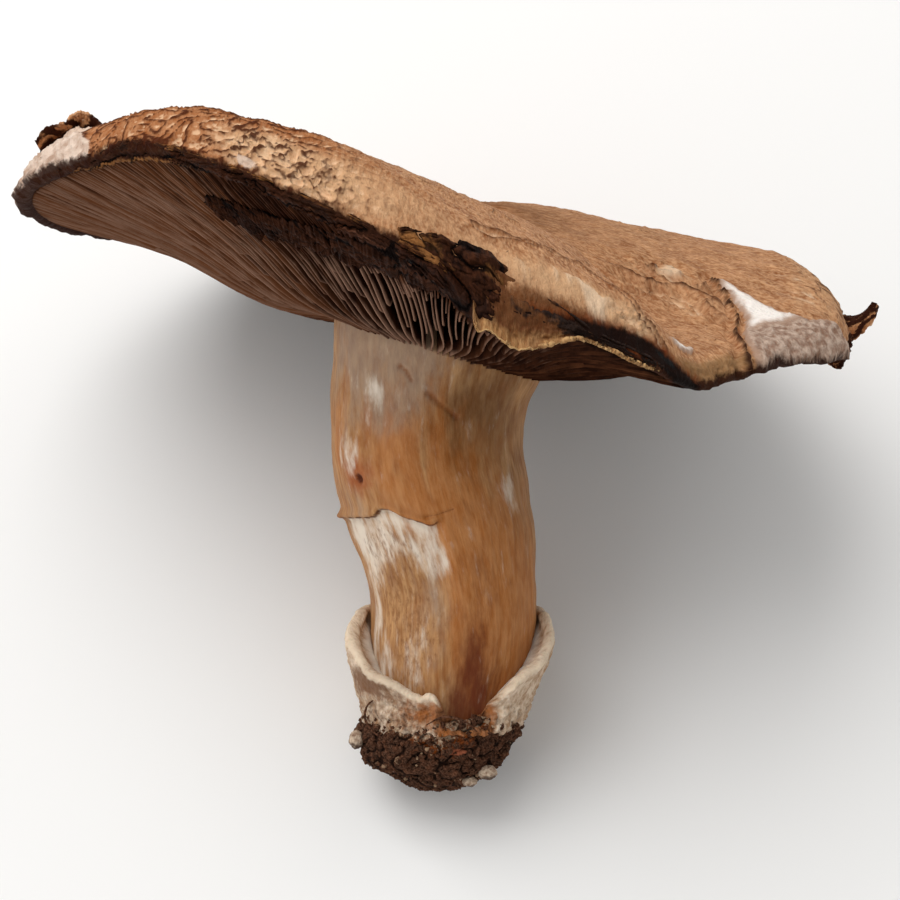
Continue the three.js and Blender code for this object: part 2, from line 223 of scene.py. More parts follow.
class Grain:
    """Smooth random relief: gradient noise on a lattice of unit cells, the same at every run."""

    CELLS = 1024

    def __init__(self, seed: int) -> None:
        """Draws the lattice's own order and slopes from a seed."""
        rng = np.random.default_rng(seed)
        self.order = rng.permutation(self.CELLS)
        self.slopes = unit_length(rng.normal(size=(self.CELLS, 3)))

    def at(self, x: Array, y: Array, z: Array | float = 0.0, wrap: int = 0) -> Array:
        """Reads the relief.

        Args:
            x: first coordinate in cells.
            y: second coordinate in cells.
            z: third coordinate in cells.
            wrap: whole number of cells after which the relief repeats in x, or 0.

        Returns:
            Relief from about -1 to 1: at each of a cell's eight corners a slope times the way from that
            corner, blended by the quintic 6t^5 - 15t^4 + 10t^3.
        """
        spots = np.broadcast_arrays(*(np.asarray(v, float) for v in (x, y, z)))
        cell = [np.floor(v).astype(int) for v in spots]
        inside = [v - c for v, c in zip(spots, cell)]
        fade = [t**3 * (t * (6 * t - 15) + 10) for t in inside]
        total = np.zeros(spots[0].shape)
        for corner in itertools.product((0, 1), repeat=3):
            key = 0
            for axis, step in enumerate(corner):
                index = cell[axis] + step
                index = index % wrap if wrap and axis == 0 else index
                key = self.order[(key + index) % self.CELLS]
            weight = np.prod([f if c else 1 - f for f, c in zip(fade, corner)], axis=0)
            total += weight * sum(self.slopes[key, a] * (inside[a] - corner[a]) for a in range(3))
        return 1.7 * total

    def rough(self, x: Array, y: Array, z: Array | float = 0.0, wrap: int = 0, octaves: int = 4) -> Array:
        """Several layers of relief, each twice as fine and half as strong as the one before."""
        layers = (self.at(x * 2**k, y * 2**k, z * 2**k, wrap * 2**k) / 2**k for k in range(octaves))
        return sum(layers) / 1.5

    def folds(self, x: Array, y: Array, z: Array | float = 0.0, wrap: int = 0, octaves: int = 3) -> Array:
        """Rounded ridges between narrow creases.

        Args:
            x: first coordinate in cells.
            y: second coordinate in cells.
            z: third coordinate in cells.
            wrap: whole number of cells after which the ridges repeat in x, or 0.
            octaves: number of layers.

        Returns:
            From 0 in a crease to 1 on a ridge:
            the product of layers 1 - d + d |noise|^0.6, each twice as fine and cut about half as deep (d).
        """
        total: Array | float = 1.0
        for k in range(octaves):
            layer = unit(1.9 * np.abs(self.at(x * 2**k, y * 2**k, z * 2**k, wrap * 2**k))) ** 0.6
            total = total * (1 - 0.55**k * (1 - layer))
        return total


def path_distance(x: Array, y: Array, points: list[tuple[float, float]], closed: bool = False) -> Array:
    """Distance from each place to a line of straight stretches.

    Args:
        x: first coordinate of the places.
        y: second coordinate.
        points: the line's corners.
        closed: whether it is an outline, whose inside counts as positive and its outside as negative.

    Returns:
        Distances in the unit of the coordinates, negative outside a closed line.
    """
    corners = np.array(points, float)
    ends = np.roll(corners, -1, axis=0) if closed else corners[1:]
    best = np.full(np.shape(x), np.inf)
    inside = np.zeros(np.shape(x), bool)
    for (ax, ay), (bx, by) in zip(corners, ends):
        dx, dy = bx - ax, by - ay
        t = unit(((x - ax) * dx + (y - ay) * dy) / (dx * dx + dy * dy))
        best = np.minimum(best, np.hypot(x - ax - t * dx, y - ay - t * dy))
        crossing = ((ay > y) != (by > y)) & (x < ax + (y - ay) * dx / (dy or TINY))
        inside ^= crossing
    return np.where(inside, best, -best) if closed else best


# ---------------------------------------------------------------- the resting place
@dataclass(frozen=True)
class RestPose:
    """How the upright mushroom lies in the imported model's frame."""

    lean_deg: float = -57.85
    roll_deg: float = -1.02
    marker: str = "chalk_lump_left"
    marker_at: tuple[float, float, float] = (-16.2, -4.0, 9.3)

    @property
    def turn(self) -> Array:
        """The 3 by 3 rotation: a lean about X, then a small roll about Y."""
        lean, roll = np.radians(self.lean_deg), np.radians(self.roll_deg)
        about_x = [[1, 0, 0], [0, np.cos(lean), -np.sin(lean)], [0, np.sin(lean), np.cos(lean)]]
        about_y = [[np.cos(roll), 0, np.sin(roll)], [0, 1, 0], [-np.sin(roll), 0, np.cos(roll)]]
        return np.array(about_y) @ np.array(about_x)

    @property
    def shift(self) -> Array:
        """Where the upright origin lies, in metres, read from a symmetric lump whose centre is known."""
        low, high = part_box(self.marker)
        centre = (np.array(low) + np.array(high)) / 2
        return centre - self.turn @ np.array(self.marker_at) * MM

    def place(self, points: Array) -> Array:
        """Upright points in mm, laid down, in metres."""
        return np.asarray(points) @ self.turn.T * MM + self.shift


REST = RestPose()


# ---------------------------------------------------------------- surfaces and pieces
@dataclass
class Surface:
    """Points, faces and the named values that a finish reads, of one closed surface or several."""

    points: Array
    quads: Array
    tris: Array = field(default_factory=lambda: np.zeros((0, 3), int))
    values: dict[str, Array] = field(default_factory=dict)

    def __add__(self, other: Surface) -> Surface:
        """Joins two surfaces.

        Args:
            other: the surface to add.

        Returns:
            Both as one; a value that one of them lacks is 0 there.
        """
        n = len(self.points)
        values = {}
        for name in {**self.values, **other.values}:
            shape = self.values.get(name, other.values.get(name)).shape[1:]
            mine = self.values.get(name, np.zeros((n, *shape)))
            theirs = other.values.get(name, np.zeros((len(other.points), *shape)))
            values[name] = np.concatenate([mine, theirs])
        return Surface(
            np.concatenate([self.points, other.points]),
            np.concatenate([self.quads, other.quads + n]),
            np.concatenate([self.tris, other.tris + n]),
            values,
        )


def closed_grid(points: Array, values: dict[str, Array], poles: bool = True) -> Surface:
    """Rows of rings as a closed surface.

    Args:
        points: (rings, points round, 3), in mm; going up a ring list with the points counted from +X
            towards +Y gives faces that point away from the axis.
        values: arrays that fit (rings, points round) or (rings, points round, 3).
        poles: whether the first and last rings close on a middle point; without it the last ring joins
            the first.

    Returns:
        The surface, with each value flattened to one entry a point.
    """
    rings, sides = points.shape[:2]
    i = np.arange(sides)
    j = (i + 1) % sides
    k = np.arange(rings - 1 if poles else rings)[:, None]
    up = (k + 1) % rings
    quads = np.stack([k * sides + i, k * sides + j, up * sides + j, up * sides + i], -1).reshape(-1, 4)
    flat = points.reshape(-1, 3)
    values = {name: np.broadcast_to(v, (rings, sides, *v.shape[2:])) for name, v in values.items()}
    named = {name: v.reshape(rings * sides, *v.shape[2:]) for name, v in values.items()}
    if not poles:
        return Surface(flat, quads, values=named)
    n, last = rings * sides, (rings - 1) * sides
    low = np.stack([np.full(sides, n), j, i], -1)
    high = np.stack([np.full(sides, n + 1), last + i, last + j], -1)
    middles = np.stack([points[0].mean(0), points[-1].mean(0)])
    for name, v in values.items():
        named[name] = np.concatenate([named[name], [v[0].mean(0), v[-1].mean(0)]])
    return Surface(np.concatenate([flat, middles]), quads, np.concatenate([low, high]), named)


def grid_normals(points: Array) -> Array:
    """Unit normals of a grid of rings: the cross product of the tangents round each ring and up the rings."""
    round_way = np.roll(points, -1, axis=1) - np.roll(points, 1, axis=1)
    return unit_length(np.cross(round_way, np.gradient(points, axis=0)))


def thin_sheet(front: Array, thick: float, values: dict[str, Array]) -> Surface:
    """A strip of tissue with two faces: its front, and a back set in by its thickness.

    Args:
        front: (stations, points across, 3), in mm. Stations run along the strip.
        thick: thickness in mm.
        values: arrays of (stations, points across, ...).

    Returns:
        One closed surface, wound so that the front's normal, along x across, points out.
    """
    along, across = np.gradient(front, axis=0), np.gradient(front, axis=1)
    back = front - unit_length(np.cross(across, along)) * thick
    loop = np.concatenate([front, back[:, ::-1]], axis=1)
    both = {name: np.concatenate([v, v[:, ::-1]], axis=1) for name, v in values.items()}
    return closed_grid(loop, both)


def make_piece(name: str, surface: Surface, finish: Finish, nodes: tuple[str, ...] = ()) -> None:
    """Turns a surface into a Blender object that rides on the mushroom's one body.

    Args:
        name: the piece's name.
        surface: its points in upright mm, faces and values.
        finish: what it looks like.
        nodes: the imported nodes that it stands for.
    """
    places = REST.place(surface.points)
    places[:, 2] = np.maximum(places[:, 2], TABLE_GAP)
    mesh = bpy.data.meshes.new(name)
    mesh.vertices.add(len(places))
    mesh.vertices.foreach_set("co", places.ravel())
    corners = np.concatenate([surface.quads.ravel(), surface.tris.ravel()])
    sizes = np.concatenate([np.full(len(surface.quads), 4), np.full(len(surface.tris), 3)])
    mesh.loops.add(len(corners))
    mesh.loops.foreach_set("vertex_index", corners)
    mesh.polygons.add(len(sizes))
    mesh.polygons.foreach_set("loop_start", np.concatenate([[0], np.cumsum(sizes)[:-1]]))
    mesh.polygons.foreach_set("use_smooth", np.ones(len(sizes), bool))
    for key, values in surface.values.items():
        kind, target = ("FLOAT_VECTOR", "vector") if values.ndim == 2 else ("FLOAT", "value")
        mesh.attributes.new(key, kind, "POINT").data.foreach_set(target, values.astype(np.float32).ravel())
    mesh.update(calc_edges=True)
    mesh.validate()
    mesh.materials.append(finish.material())
    piece = bpy.data.objects.new(name, mesh)
    bpy.context.scene.collection.objects.link(piece)
    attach(piece, "root")
    if nodes:
        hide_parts(*nodes)
    LOG.info("%s: %d triangles", name, 2 * len(surface.quads) + len(surface.tris))


# ---------------------------------------------------------------- finishes
def linear(hex_colour: str) -> tuple[float, float, float, float]:
    """An sRGB hex colour as linear red, green, blue and alpha."""
    channels = [int(hex_colour[k : k + 2], 16) / 255 for k in (1, 3, 5)]
    return (*(c / 12.92 if c <= 0.04045 else ((c + 0.055) / 1.055) ** 2.4 for c in channels), 1.0)


def add_node(tree: Tree, kind: str, settings: dict | None = None, inputs: dict | None = None) -> bpy.types.Node:
    """Adds a node.

    Args:
        tree: the material's nodes.
        kind: the node's type.
        settings: its properties.
        inputs: for each of its sockets, a socket to link from or a value.

    Returns:
        The node.
    """
    node = tree.nodes.new(kind)
    for name, value in (settings or {}).items():
        setattr(node, name, value)
    for name, value in (inputs or {}).items():
        if isinstance(value, Socket):
            tree.links.new(value, node.inputs[name])
        else:
            node.inputs[name].default_value = value
    return node


@dataclass(frozen=True)
class Fibre:
    """Noise that breaks up a colour, laid along the tissue's own flow.

    Attributes:
        across: size across the fibres, in mm.
        along: size along the fibres, in mm.
        dark: colour at the low end of the noise.
        light: colour at the high end.
        strength: share of the colour under it that it takes over.
        relief: height that it raises the surface by, in mm.
        detail: number of finer layers.
        within: the named value that scales its strength, or none for all over.
        span: how much of the noise's range goes from dark to light.
        by: the named coordinates in mm that it is laid by.
    """

    across: float
    along: float
    dark: str
    light: str
    strength: float
    relief: float = 0.0
    detail: float = 4.0
    within: str = ""
    span: tuple[float, float] = (0.32, 0.68)
    by: str = "flow"


@dataclass(frozen=True)
class Stain:
    """A colour laid over the rest where a named value passes a limit.

    Attributes:
        value: the named value that it follows.
        colour: its colour.
        start: the value where it begins.
        full: the value where it covers.
        ragged: how far noise moves its border, in the value's own unit.
        grain: size of that noise across the fibres, in mm.
        stretch: how many times longer that noise is along the fibres.
        strength: how much it covers at most.
        roughness: roughness under it, or a negative number to leave it.
    """

    value: str
    colour: str
    start: float
    full: float
    ragged: float = 0.0
    grain: float = 1.0
    stretch: float = 1.0
    strength: float = 1.0
    roughness: float = -1.0


@dataclass(frozen=True)
class Finish:
    """A tissue or a soil: fibres and stains over a base colour, on a dielectric surface."""

    name: str
    base: str
    layers: tuple[Fibre | Stain, ...] = ()
    roughness: float = 0.7
    specular: float = 0.35
    ior: float = 1.45
    subsurface: float = 0.0

    def material(self) -> bpy.types.Material:
        """Makes the Blender material, once for each name.

        Returns:
            A Principled surface: the layers colour it in order, and their relief reaches it as a bump in mm.
        """
        found = bpy.data.materials.get(self.name)
        if found:
            return found
        material = bpy.data.materials.new(self.name)
        material.use_nodes = True
        tree = material.node_tree
        tree.nodes.clear()
        flow = add_node(tree, "ShaderNodeAttribute", {"attribute_name": "flow"}).outputs["Vector"]
        colour: Socket | tuple = linear(self.base)
        roughness: Socket | float = self.roughness
        height: Socket | float = 0.0
        for layer in self.layers:
            if isinstance(layer, Fibre):
                colour, height = self.add_fibre(tree, flow, layer, colour, height)
            else:
                colour, roughness = self.add_stain(tree, flow, layer, colour, roughness)
        inputs = {
            "Base Color": colour,
            "Roughness": roughness,
            "IOR": self.ior,
            "Specular IOR Level": self.specular,
            "Subsurface Weight": self.subsurface,
            "Subsurface Radius": FLESH_SPREAD,
            "Subsurface Scale": FLESH_DEPTH,
        }
        shader = add_node(tree, "ShaderNodeBsdfPrincipled", inputs=inputs)
        if isinstance(height, Socket):
            lift = add_node(tree, "ShaderNodeBump", inputs={"Height": height, "Distance": MM, "Strength": 1.0})
            tree.links.new(lift.outputs["Normal"], shader.inputs["Normal"])
        add_node(tree, "ShaderNodeOutputMaterial", inputs={"Surface": shader.outputs["BSDF"]})
        return material

    @staticmethod
    def noise(tree: Tree, flow: Socket, across: float, along: float, detail: float) -> Socket:
        """Noise over coordinates in mm.

        Args:
            tree: the material's nodes.
            flow: the coordinates.
            across: the noise's size in their first two directions, in mm.
            along: its size in the third.
            detail: number of finer layers.

        Returns:
            The noise, from 0 to 1.
        """
        scale = (1 / across, 1 / across, 1 / along)
        scaled = add_node(tree, "ShaderNodeVectorMath", {"operation": "MULTIPLY"}, {0: flow, 1: scale})
        inputs = {"Vector": scaled.outputs[0], "Scale": 1.0, "Detail": detail, "Roughness": NOISE_ROUGHNESS}
        return add_node(tree, "ShaderNodeTexNoise", inputs=inputs).outputs[0]

    def add_fibre(
        self, tree: Tree, flow: Socket, layer: Fibre, colour: Socket | tuple, height: Socket | float
    ) -> tuple[Socket, Socket | float]:
        """Lays one Fibre over a colour and adds its relief.

        Args:
            tree: the material's nodes.
            flow: the piece's own coordinates.
            layer: the fibre.
            colour: the colour under it.
            height: the relief under it, in mm.

        Returns:
            The new colour and the new relief.
        """
        if layer.by != "flow":
            flow = add_node(tree, "ShaderNodeAttribute", {"attribute_name": layer.by}).outputs["Vector"]
        noise = self.noise(tree, flow, layer.across, layer.along, layer.detail)
        ends = {"Value": noise, "From Min": layer.span[0], "From Max": layer.span[1]}
        share = add_node(tree, "ShaderNodeMapRange", {"interpolation_type": "SMOOTHSTEP"}, ends).outputs[0]
        shades = {0: share, 6: linear(layer.dark), 7: linear(layer.light)}
        tint = add_node(tree, "ShaderNodeMix", {"data_type": "RGBA"}, shades).outputs[2]
        strength: Socket | float = layer.strength
        rise: Socket | float = layer.relief
        if layer.within:
            weight = add_node(tree, "ShaderNodeAttribute", {"attribute_name": layer.within}).outputs["Fac"]
            product = {"operation": "MULTIPLY", "use_clamp": True}
            strength = add_node(tree, "ShaderNodeMath", product, {0: weight, 1: layer.strength}).outputs[0]
        mixed = add_node(tree, "ShaderNodeMix", {"data_type": "RGBA"}, {0: strength, 6: colour, 7: tint})
        if layer.relief:
            if layer.within:
                gain = {0: strength, 1: layer.relief / layer.strength}
                rise = add_node(tree, "ShaderNodeMath", {"operation": "MULTIPLY"}, gain).outputs[0]
            raised = {0: share, 1: rise, 2: height}
            height = add_node(tree, "ShaderNodeMath", {"operation": "MULTIPLY_ADD"}, raised).outputs[0]
        return mixed.outputs[2], height

    def add_stain(
        self, tree: Tree, flow: Socket, layer: Stain, colour: Socket | tuple, roughness: Socket | float
    ) -> tuple[Socket, Socket | float]:
        """Lays one Stain over a colour and a roughness.

        Args:
            tree: the material's nodes.
            flow: the piece's own coordinates.
            layer: the stain.
            colour: the colour under it.
            roughness: the roughness under it.

        Returns:
            The new colour and the new roughness.
        """
        value = add_node(tree, "ShaderNodeAttribute", {"attribute_name": layer.value}).outputs["Fac"]
        if layer.ragged:
            noise = self.noise(tree, flow, layer.grain, layer.grain * layer.stretch, STAIN_DETAIL)
            centred = add_node(tree, "ShaderNodeMath", {"operation": "ADD"}, {0: noise, 1: -0.5}).outputs[0]
            moved = {0: centred, 1: 4 * layer.ragged, 2: value}
            value = add_node(tree, "ShaderNodeMath", {"operation": "MULTIPLY_ADD"}, moved).outputs[0]
        ends = {"Value": value, "From Min": layer.start, "From Max": layer.full, "To Max": layer.strength}
        share = add_node(tree, "ShaderNodeMapRange", {"interpolation_type": "SMOOTHSTEP"}, ends).outputs[0]
        shades = {0: share, 6: colour, 7: linear(layer.colour)}
        mixed = add_node(tree, "ShaderNodeMix", {"data_type": "RGBA"}, shades).outputs[2]
        if layer.roughness >= 0:
            ends = {0: share, 2: roughness, 3: layer.roughness}
            roughness = add_node(tree, "ShaderNodeMix", {"data_type": "FLOAT"}, ends).outputs[0]
        return mixed, roughness


# Dried cap skin of a brown Agaricus: fine radial fibres, paler where the outer cells have split, and raw
# white flesh where it is torn away.
# Some of its layers are painted light: shade in the creases and under the rim, highlights on the crests.
CAP_SKIN = Finish(
    "cap_skin_dried_fibrous",
    "#a5663a",
    layers=(
        Fibre(15, 15, "#8b5029", "#be8252", 0.7, detail=3, by="flat"),
        Fibre(26, 18, "#84694a", "#ad6d40", 0.4, detail=2, span=(0.3, 0.52), by="flat"),
        Fibre(3.2, 3.2, "#7c4019", "#d39a6c", 0.70, 0.18, detail=6, by="flat"),
        Fibre(1.1, 2.6, "#82471f", "#d8a478", 0.30, 0.12, within="outer"),
        Fibre(0.5, 0.9, "#6b3916", "#e2b88e", 0.38, 0.10, detail=3, within="outer"),
        Stain("scaly", "#a35c2c", 0.1, 1.0, 0.15, 2.5, 3, 0.45),
        Stain("pale", "#d9ae84", 0.15, 1.05, 0.2, 1.2, 3, 0.75),
        Stain("brown", "#5b3114", 0.1, 0.9, 0.3, 1.4, 2, 0.85),
        # Painted highlight on the crests of the skin's folds, flakes and knobs.
        Stain("crest_highlight", "#e8c19a", 0.15, 0.85, 0.12, 0.7, 3, 0.85),
        # Painted shade in the creases between the folds, flakes and knobs.
        Stain("crease_shade", "#441805", 0.12, 0.9, 0.14, 0.6, 2, 0.92),
        # Real pale fibrous streaks, partly painted highlight on ridges and along the seam.
        Stain("streak_and_highlight", "#e4c6a6", 0.2, 1.0, 0.25, 0.5, 12, 0.8),
        Stain("grit", "#8b6a45", 0.1, 0.8, 0.2, 0.5, 1, 0.7),
        Stain("rust", "#7e320c", 0.0, 3.2, 0.9, 1.5, 2, 0.85),
        Stain("flesh", "#d6bba6", 0.0, 0.9, 0.5, 1.0, 1.5, 1.0, 0.6),
        Fibre(2.4, 2.4, "#8c6249", "#f0dfd0", 0.5, 0.12, detail=5, within="fleshy", by="flat"),
        Stain("tear", "#b0907a", 0.0, 0.35, 0.22, 0.8, 1.5, 1.0, 0.6),
        Fibre(1.6, 1.6, "#6d4630", "#d9c2b0", 0.62, 0.12, detail=6, within="margin", by="flat"),
        Stain("raw", "#fbf2e9", -0.2, 1.4, 0.4, 1.5, 1, 0.97, 0.5),
        # Dark dried rim band, and painted shade on the rim's underside and in the curls' folds.
        Stain("crust_and_shade", "#2d1106", 0.0, 1.3, 0.7, 0.8, 1.5, 0.96),
        Stain("char", "#110805", -0.5, 0.9, 0.5, 1.0, 2, 0.97, 0.6),
        Stain("soot", "#151c1d", 0.1, 0.9, 0.3, 1.0, 1, 0.7, 0.45),
        Stain("crack", "#2b1108", 0.0, 0.45, 0.10, 0.7, 1, 0.92),
    ),
    roughness=0.72,
    specular=0.07,
    subsurface=0.03,
)


# Mature gills: chocolate brown with spores, papery, their free edges rubbed paler.
GILL_BLADE = Finish(
    "gill_blade_ripe_spores",
    "#2e150b",
    layers=(
        Fibre(0.8, 5, "#1a0b06", "#452616", 0.6, 0.05),
        # Painted shade, darkest deep between the blades and near the lip.
        Stain("gap_shade", "#080302", 0.2, 1.0, 0.2, 2.0, 2, 0.9),
        Stain("dusty", "#774a2f", 0.0, 1.0, 0.35, 3.0, 3, 0.85),
        Stain("edge", "#9a7763", 0.82, 1.0, 0.10, 1.5, 6, 0.8),
    ),
    roughness=0.85,
    specular=0.03,
)


# Torn veil that has dried to a dark gelatinous film.
DARK_VEIL = Finish(
    "dark_veil_dried_film",
    "#24100a",
    layers=(
        Fibre(1.8, 4, "#120805", "#472616", 0.75, 0.18),
        Fibre(0.5, 1.2, "#0e0604", "#5c3520", 0.30, 0.08),
        Stain("ochre", "#a06b3c", 0.3, 1.0, 0.3, 1.0, 1.5, 0.85),
        Stain("bluish", "#1d1311", 0.3, 1.0, 0.2, 1.5, 1, 0.5, 0.45),
        Stain("pink", "#8a5c46", 0.5, 0.8, 0.25, 0.7, 3, 0.75),
        # Painted shade in the troughs between the film's folds.
        Stain("fold_shade", "#050202", 0.1, 0.9, 0.1, 0.8, 1, 0.9),
    ),
    roughness=0.6,
    specular=0.05,
)


# The same veil where it dried thin: golden parchment, browned towards the cap.
GOLD_VEIL = Finish(
    "gold_veil_parchment",
    "#946338",
    layers=(
        Fibre(1.6, 3, "#5f3616", "#c08f58", 0.75, 0.15),
        Fibre(0.4, 1.4, "#7a4b24", "#cfa472", 0.35, 0.08),
        Stain("brown", "#56290b", 0.15, 0.95, 0.5, 1.6, 2, 0.85),
        Stain("rim", "#cda470", 0.2, 0.9, 0.15, 0.6, 2, 0.85),
        Stain("black", "#160a06", 0.25, 0.85, 0.5, 1.5, 1.5, 0.93),
    ),
    roughness=0.6,
    specular=0.18,
    subsurface=0.03,
)


# Stem of pulled fibres: satin, tan, bruised orange brown, white where the outer layer is stripped.
STEM_FLESH = Finish(
    "stem_flesh_fibrous",
    "#a06a3a",
    layers=(
        Fibre(5, 9, "#7d4a20", "#c08c55", 0.7, detail=5),
        Fibre(1.6, 4.5, "#784420", "#d6a672", 0.36, 0.05, detail=6),
        Fibre(0.5, 6, "#784820", "#d8ae7c", 0.26, 0.025, detail=3),
        Stain("grey", "#a18b78", 0.05, 1.0, 0.45, 2.2, 3, 0.85),
        Stain("murky", "#65401c", 0.1, 1.0, 0.4, 3.0, 2.5, 0.8),
        Stain("rust", "#b0682b", 0.0, 1.0, 0.45, 3.0, 2.5, 0.72),
        Stain("halo", "#964414", 0.1, 0.9, 0.25, 1.5, 1.5, 0.88),
        Fibre(1.2, 4, "#84491c", "#dcb080", 0.16, 0.02, detail=5),
        Stain("deep", "#5a1c04", -0.1, 1.15, 0.35, 1.8, 2.5, 0.9),
        Stain("white", "#e6d8c6", 0.15, 1.0, 0.5, 1.5, 3.5, 0.9),
        Stain("speckle", "#74441f", 0.55, 0.95, 0.4, 0.7, 2.2, 0.6),
        Stain("scratch", "#7e4419", 0.0, 0.9, 0.2, 0.6, 2, 0.75),
        Stain("scar", "#421504", 0.0, 0.8, 0.3, 0.6, 1, 0.85),
    ),
    roughness=0.55,
    specular=0.18,
    subsurface=0.05,
)


# Papery collar of pale tissue: matte cream outside with soil smears, bluish white inside.
SHEATH_TISSUE = Finish(
    "sheath_tissue_papery",
    "#cfae8c",
    layers=(
        Fibre(2.5, 3.5, "#94683f", "#ecd8c0", 0.8, 0.12),
        Fibre(0.7, 0.9, "#946b47", "#f0dfc9", 0.35, 0.08),
        Stain("inside", "#ded5c9", 0.1, 0.9, 0.15, 1.5, 1, 0.85),
        Stain("ochre", "#9a5519", 0.25, 0.95, 0.45, 1.6, 1, 0.85),
        Stain("smear", "#6b4225", 0.1, 0.9, 0.35, 1.2, 1, 0.85),
        Stain("mottle", "#43230f", 0.35, 1.0, 0.5, 1.3, 1, 0.85),
        Stain("lip", "#ecd8bd", 0.3, 1.0, 0.3, 0.8, 1, 0.7),
        Stain("speck", "#2b1a12", 0.85, 0.95, 0.5, 0.5, 1, 0.7),
    ),
    roughness=0.65,
    specular=0.12,
    subsurface=0.08,
)


# Damp peat casing soil with pale threads of mycelium running through it.
SOIL = Finish(
    "casing_soil_peat",
    "#3e1f11",
    layers=(
        Fibre(1.2, 1.2, "#1a0a05", "#744731", 0.8, 0.40, detail=6),
        Fibre(0.35, 0.35, "#120704", "#98715a", 0.38, 0.15, detail=3),
        Stain("mottle", "#c8a482", 0.35, 0.85, 0.5, 0.9, 1, 0.88),
        Stain("amber", "#85400f", 0.35, 0.8, 0.5, 1.2, 1, 0.85),
        Stain("thread", "#d3bc9f", 0.55, 0.85, 0.3, 0.4, 1, 0.85),
        # Painted shade in the pits of the clod.
        Stain("pit_shade", "#0a0403", 0.2, 1.0, 0.2, 0.8, 1, 0.85),
        Stain("chip", "#b3684a", 0.0, 0.3, 0.1, 0.8, 1, 0.9),
    ),
    roughness=0.85,
    specular=0.05,
)


# Crumbs of chalk from the casing, stained by the soil.
CHALK = Finish(
    "chalk_crumb_stained",
    "#b79b82",
    layers=(
        Fibre(0.8, 0.8, "#7a5a45", "#dcc7ae", 0.8, 0.12),
        Stain("dirt", "#3a241a", 0.3, 0.9, 0.3, 0.6, 1, 0.9),
    ),
    roughness=0.8,
)


# ---------------------------------------------------------------- the cap
class Column(Enum):
    """Columns of the cap's table: the rim's radius, then heights in mm."""

    RADIUS = 1
    RIM = 2
    SHOULDER = 3
    MID = 4
    INNER = 5
    GILL_MID = 6
    GILL_INNER = 7
    JOIN = 8


# One row for each direction round the cap, in degrees, with the columns named above.
CAP_STATIONS = np.array(
    [
        [0, 70.5, 79.0, 91.0, 94.0, 98.5, 74.5, 72.5, 71.6],
        [22, 71.0, 84.5, 96.5, 98.7, 101.5, 77.0, 74.0, 73.0],
        [45, 71.5, 88.5, 100.5, 102.5, 104.0, 80.5, 76.5, 75.3],
        [67, 73.0, 92.5, 104.5, 106.0, 105.0, 84.5, 79.5, 77.2],
        [90, 69.0, 98.5, 106.0, 106.3, 105.0, 88.5, 81.5, 78.4],
        [112, 76.5, 100.5, 107.5, 106.5, 104.5, 90.5, 82.5, 79.6],
        [130, 74.0, 102.0, 108.5, 107.0, 104.0, 92.0, 83.5, 80.7],
        [150, 74.0, 100.0, 107.5, 108.0, 103.0, 93.0, 84.5, 82.0],
        [165, 74.0, 100.5, 107.0, 108.0, 103.0, 93.5, 85.0, 82.8],
        [180, 73.0, 102.0, 108.0, 108.0, 103.0, 93.5, 85.6, 82.8],
        [195, 71.0, 103.5, 110.0, 108.5, 103.5, 93.5, 85.0, 82.2],
        [210, 67.5, 105.0, 112.3, 109.0, 104.0, 93.5, 84.5, 81.2],
        [225, 66.0, 106.0, 113.3, 109.7, 104.5, 93.0, 83.5, 79.8],
        [240, 66.0, 102.5, 111.1, 110.1, 104.5, 91.0, 82.0, 78.4],
        [255, 66.0, 95.5, 106.0, 106.4, 104.5, 87.5, 79.5, 77.0],
        [270, 65.5, 87.5, 98.0, 101.3, 103.0, 82.5, 77.0, 75.4],
        [280, 65.0, 80.0, 92.8, 98.0, 101.5, 78.0, 75.5, 74.5],
        [290, 64.5, 76.4, 88.4, 95.0, 100.0, 75.0, 73.8, 73.6],
        [300, 64.0, 72.5, 84.6, 91.8, 99.0, 73.5, 72.5, 72.9],
        [310, 63.0, 69.0, 77.0, 88.5, 97.7, 72.0, 71.8, 72.3],
        [320, 63.0, 70.8, 77.0, 83.0, 96.0, 71.5, 71.3, 71.8],
        [330, 64.5, 73.1, 79.2, 84.5, 96.0, 72.5, 71.2, 71.5],
        [345, 69.0, 74.5, 83.5, 89.5, 97.0, 73.5, 71.8, 71.4],
    ]
)

# Features on the top, seen in plan: X and Y in mm from the foot's own origin.
WHITE_TEAR = [
    (44.6, -11.6),
    (48.1, -13.6),
    (52.0, -16.6),
    (56.0, -19.2),
    (60.0, -19.0),
    (64.5, -14.0),
    (74.0, -8.0),
    (74.0, -24.0),
    (60.0, -40.0),
    (50.0, -46.0),
    (48.0, -36.0),
    (47.5, -31.0),
    (48.9, -23.7),
    (47.6, -19.5),
    (46.0, -15.3),
]
SKIN_CRACK = [(44.4, -11.5), (46.3, -17.0), (47.6, -22.5), (47.2, -27.0), (46.2, -31.0), (47.2, -36.0), (46.6, -41.0)]
RIDGE_CRACK = [(-6.0, -50.0), (3.0, -47.0), (9.0, -43.6), (16.0, -42.0), (22.0, -39.5), (27.0, -38.0)]

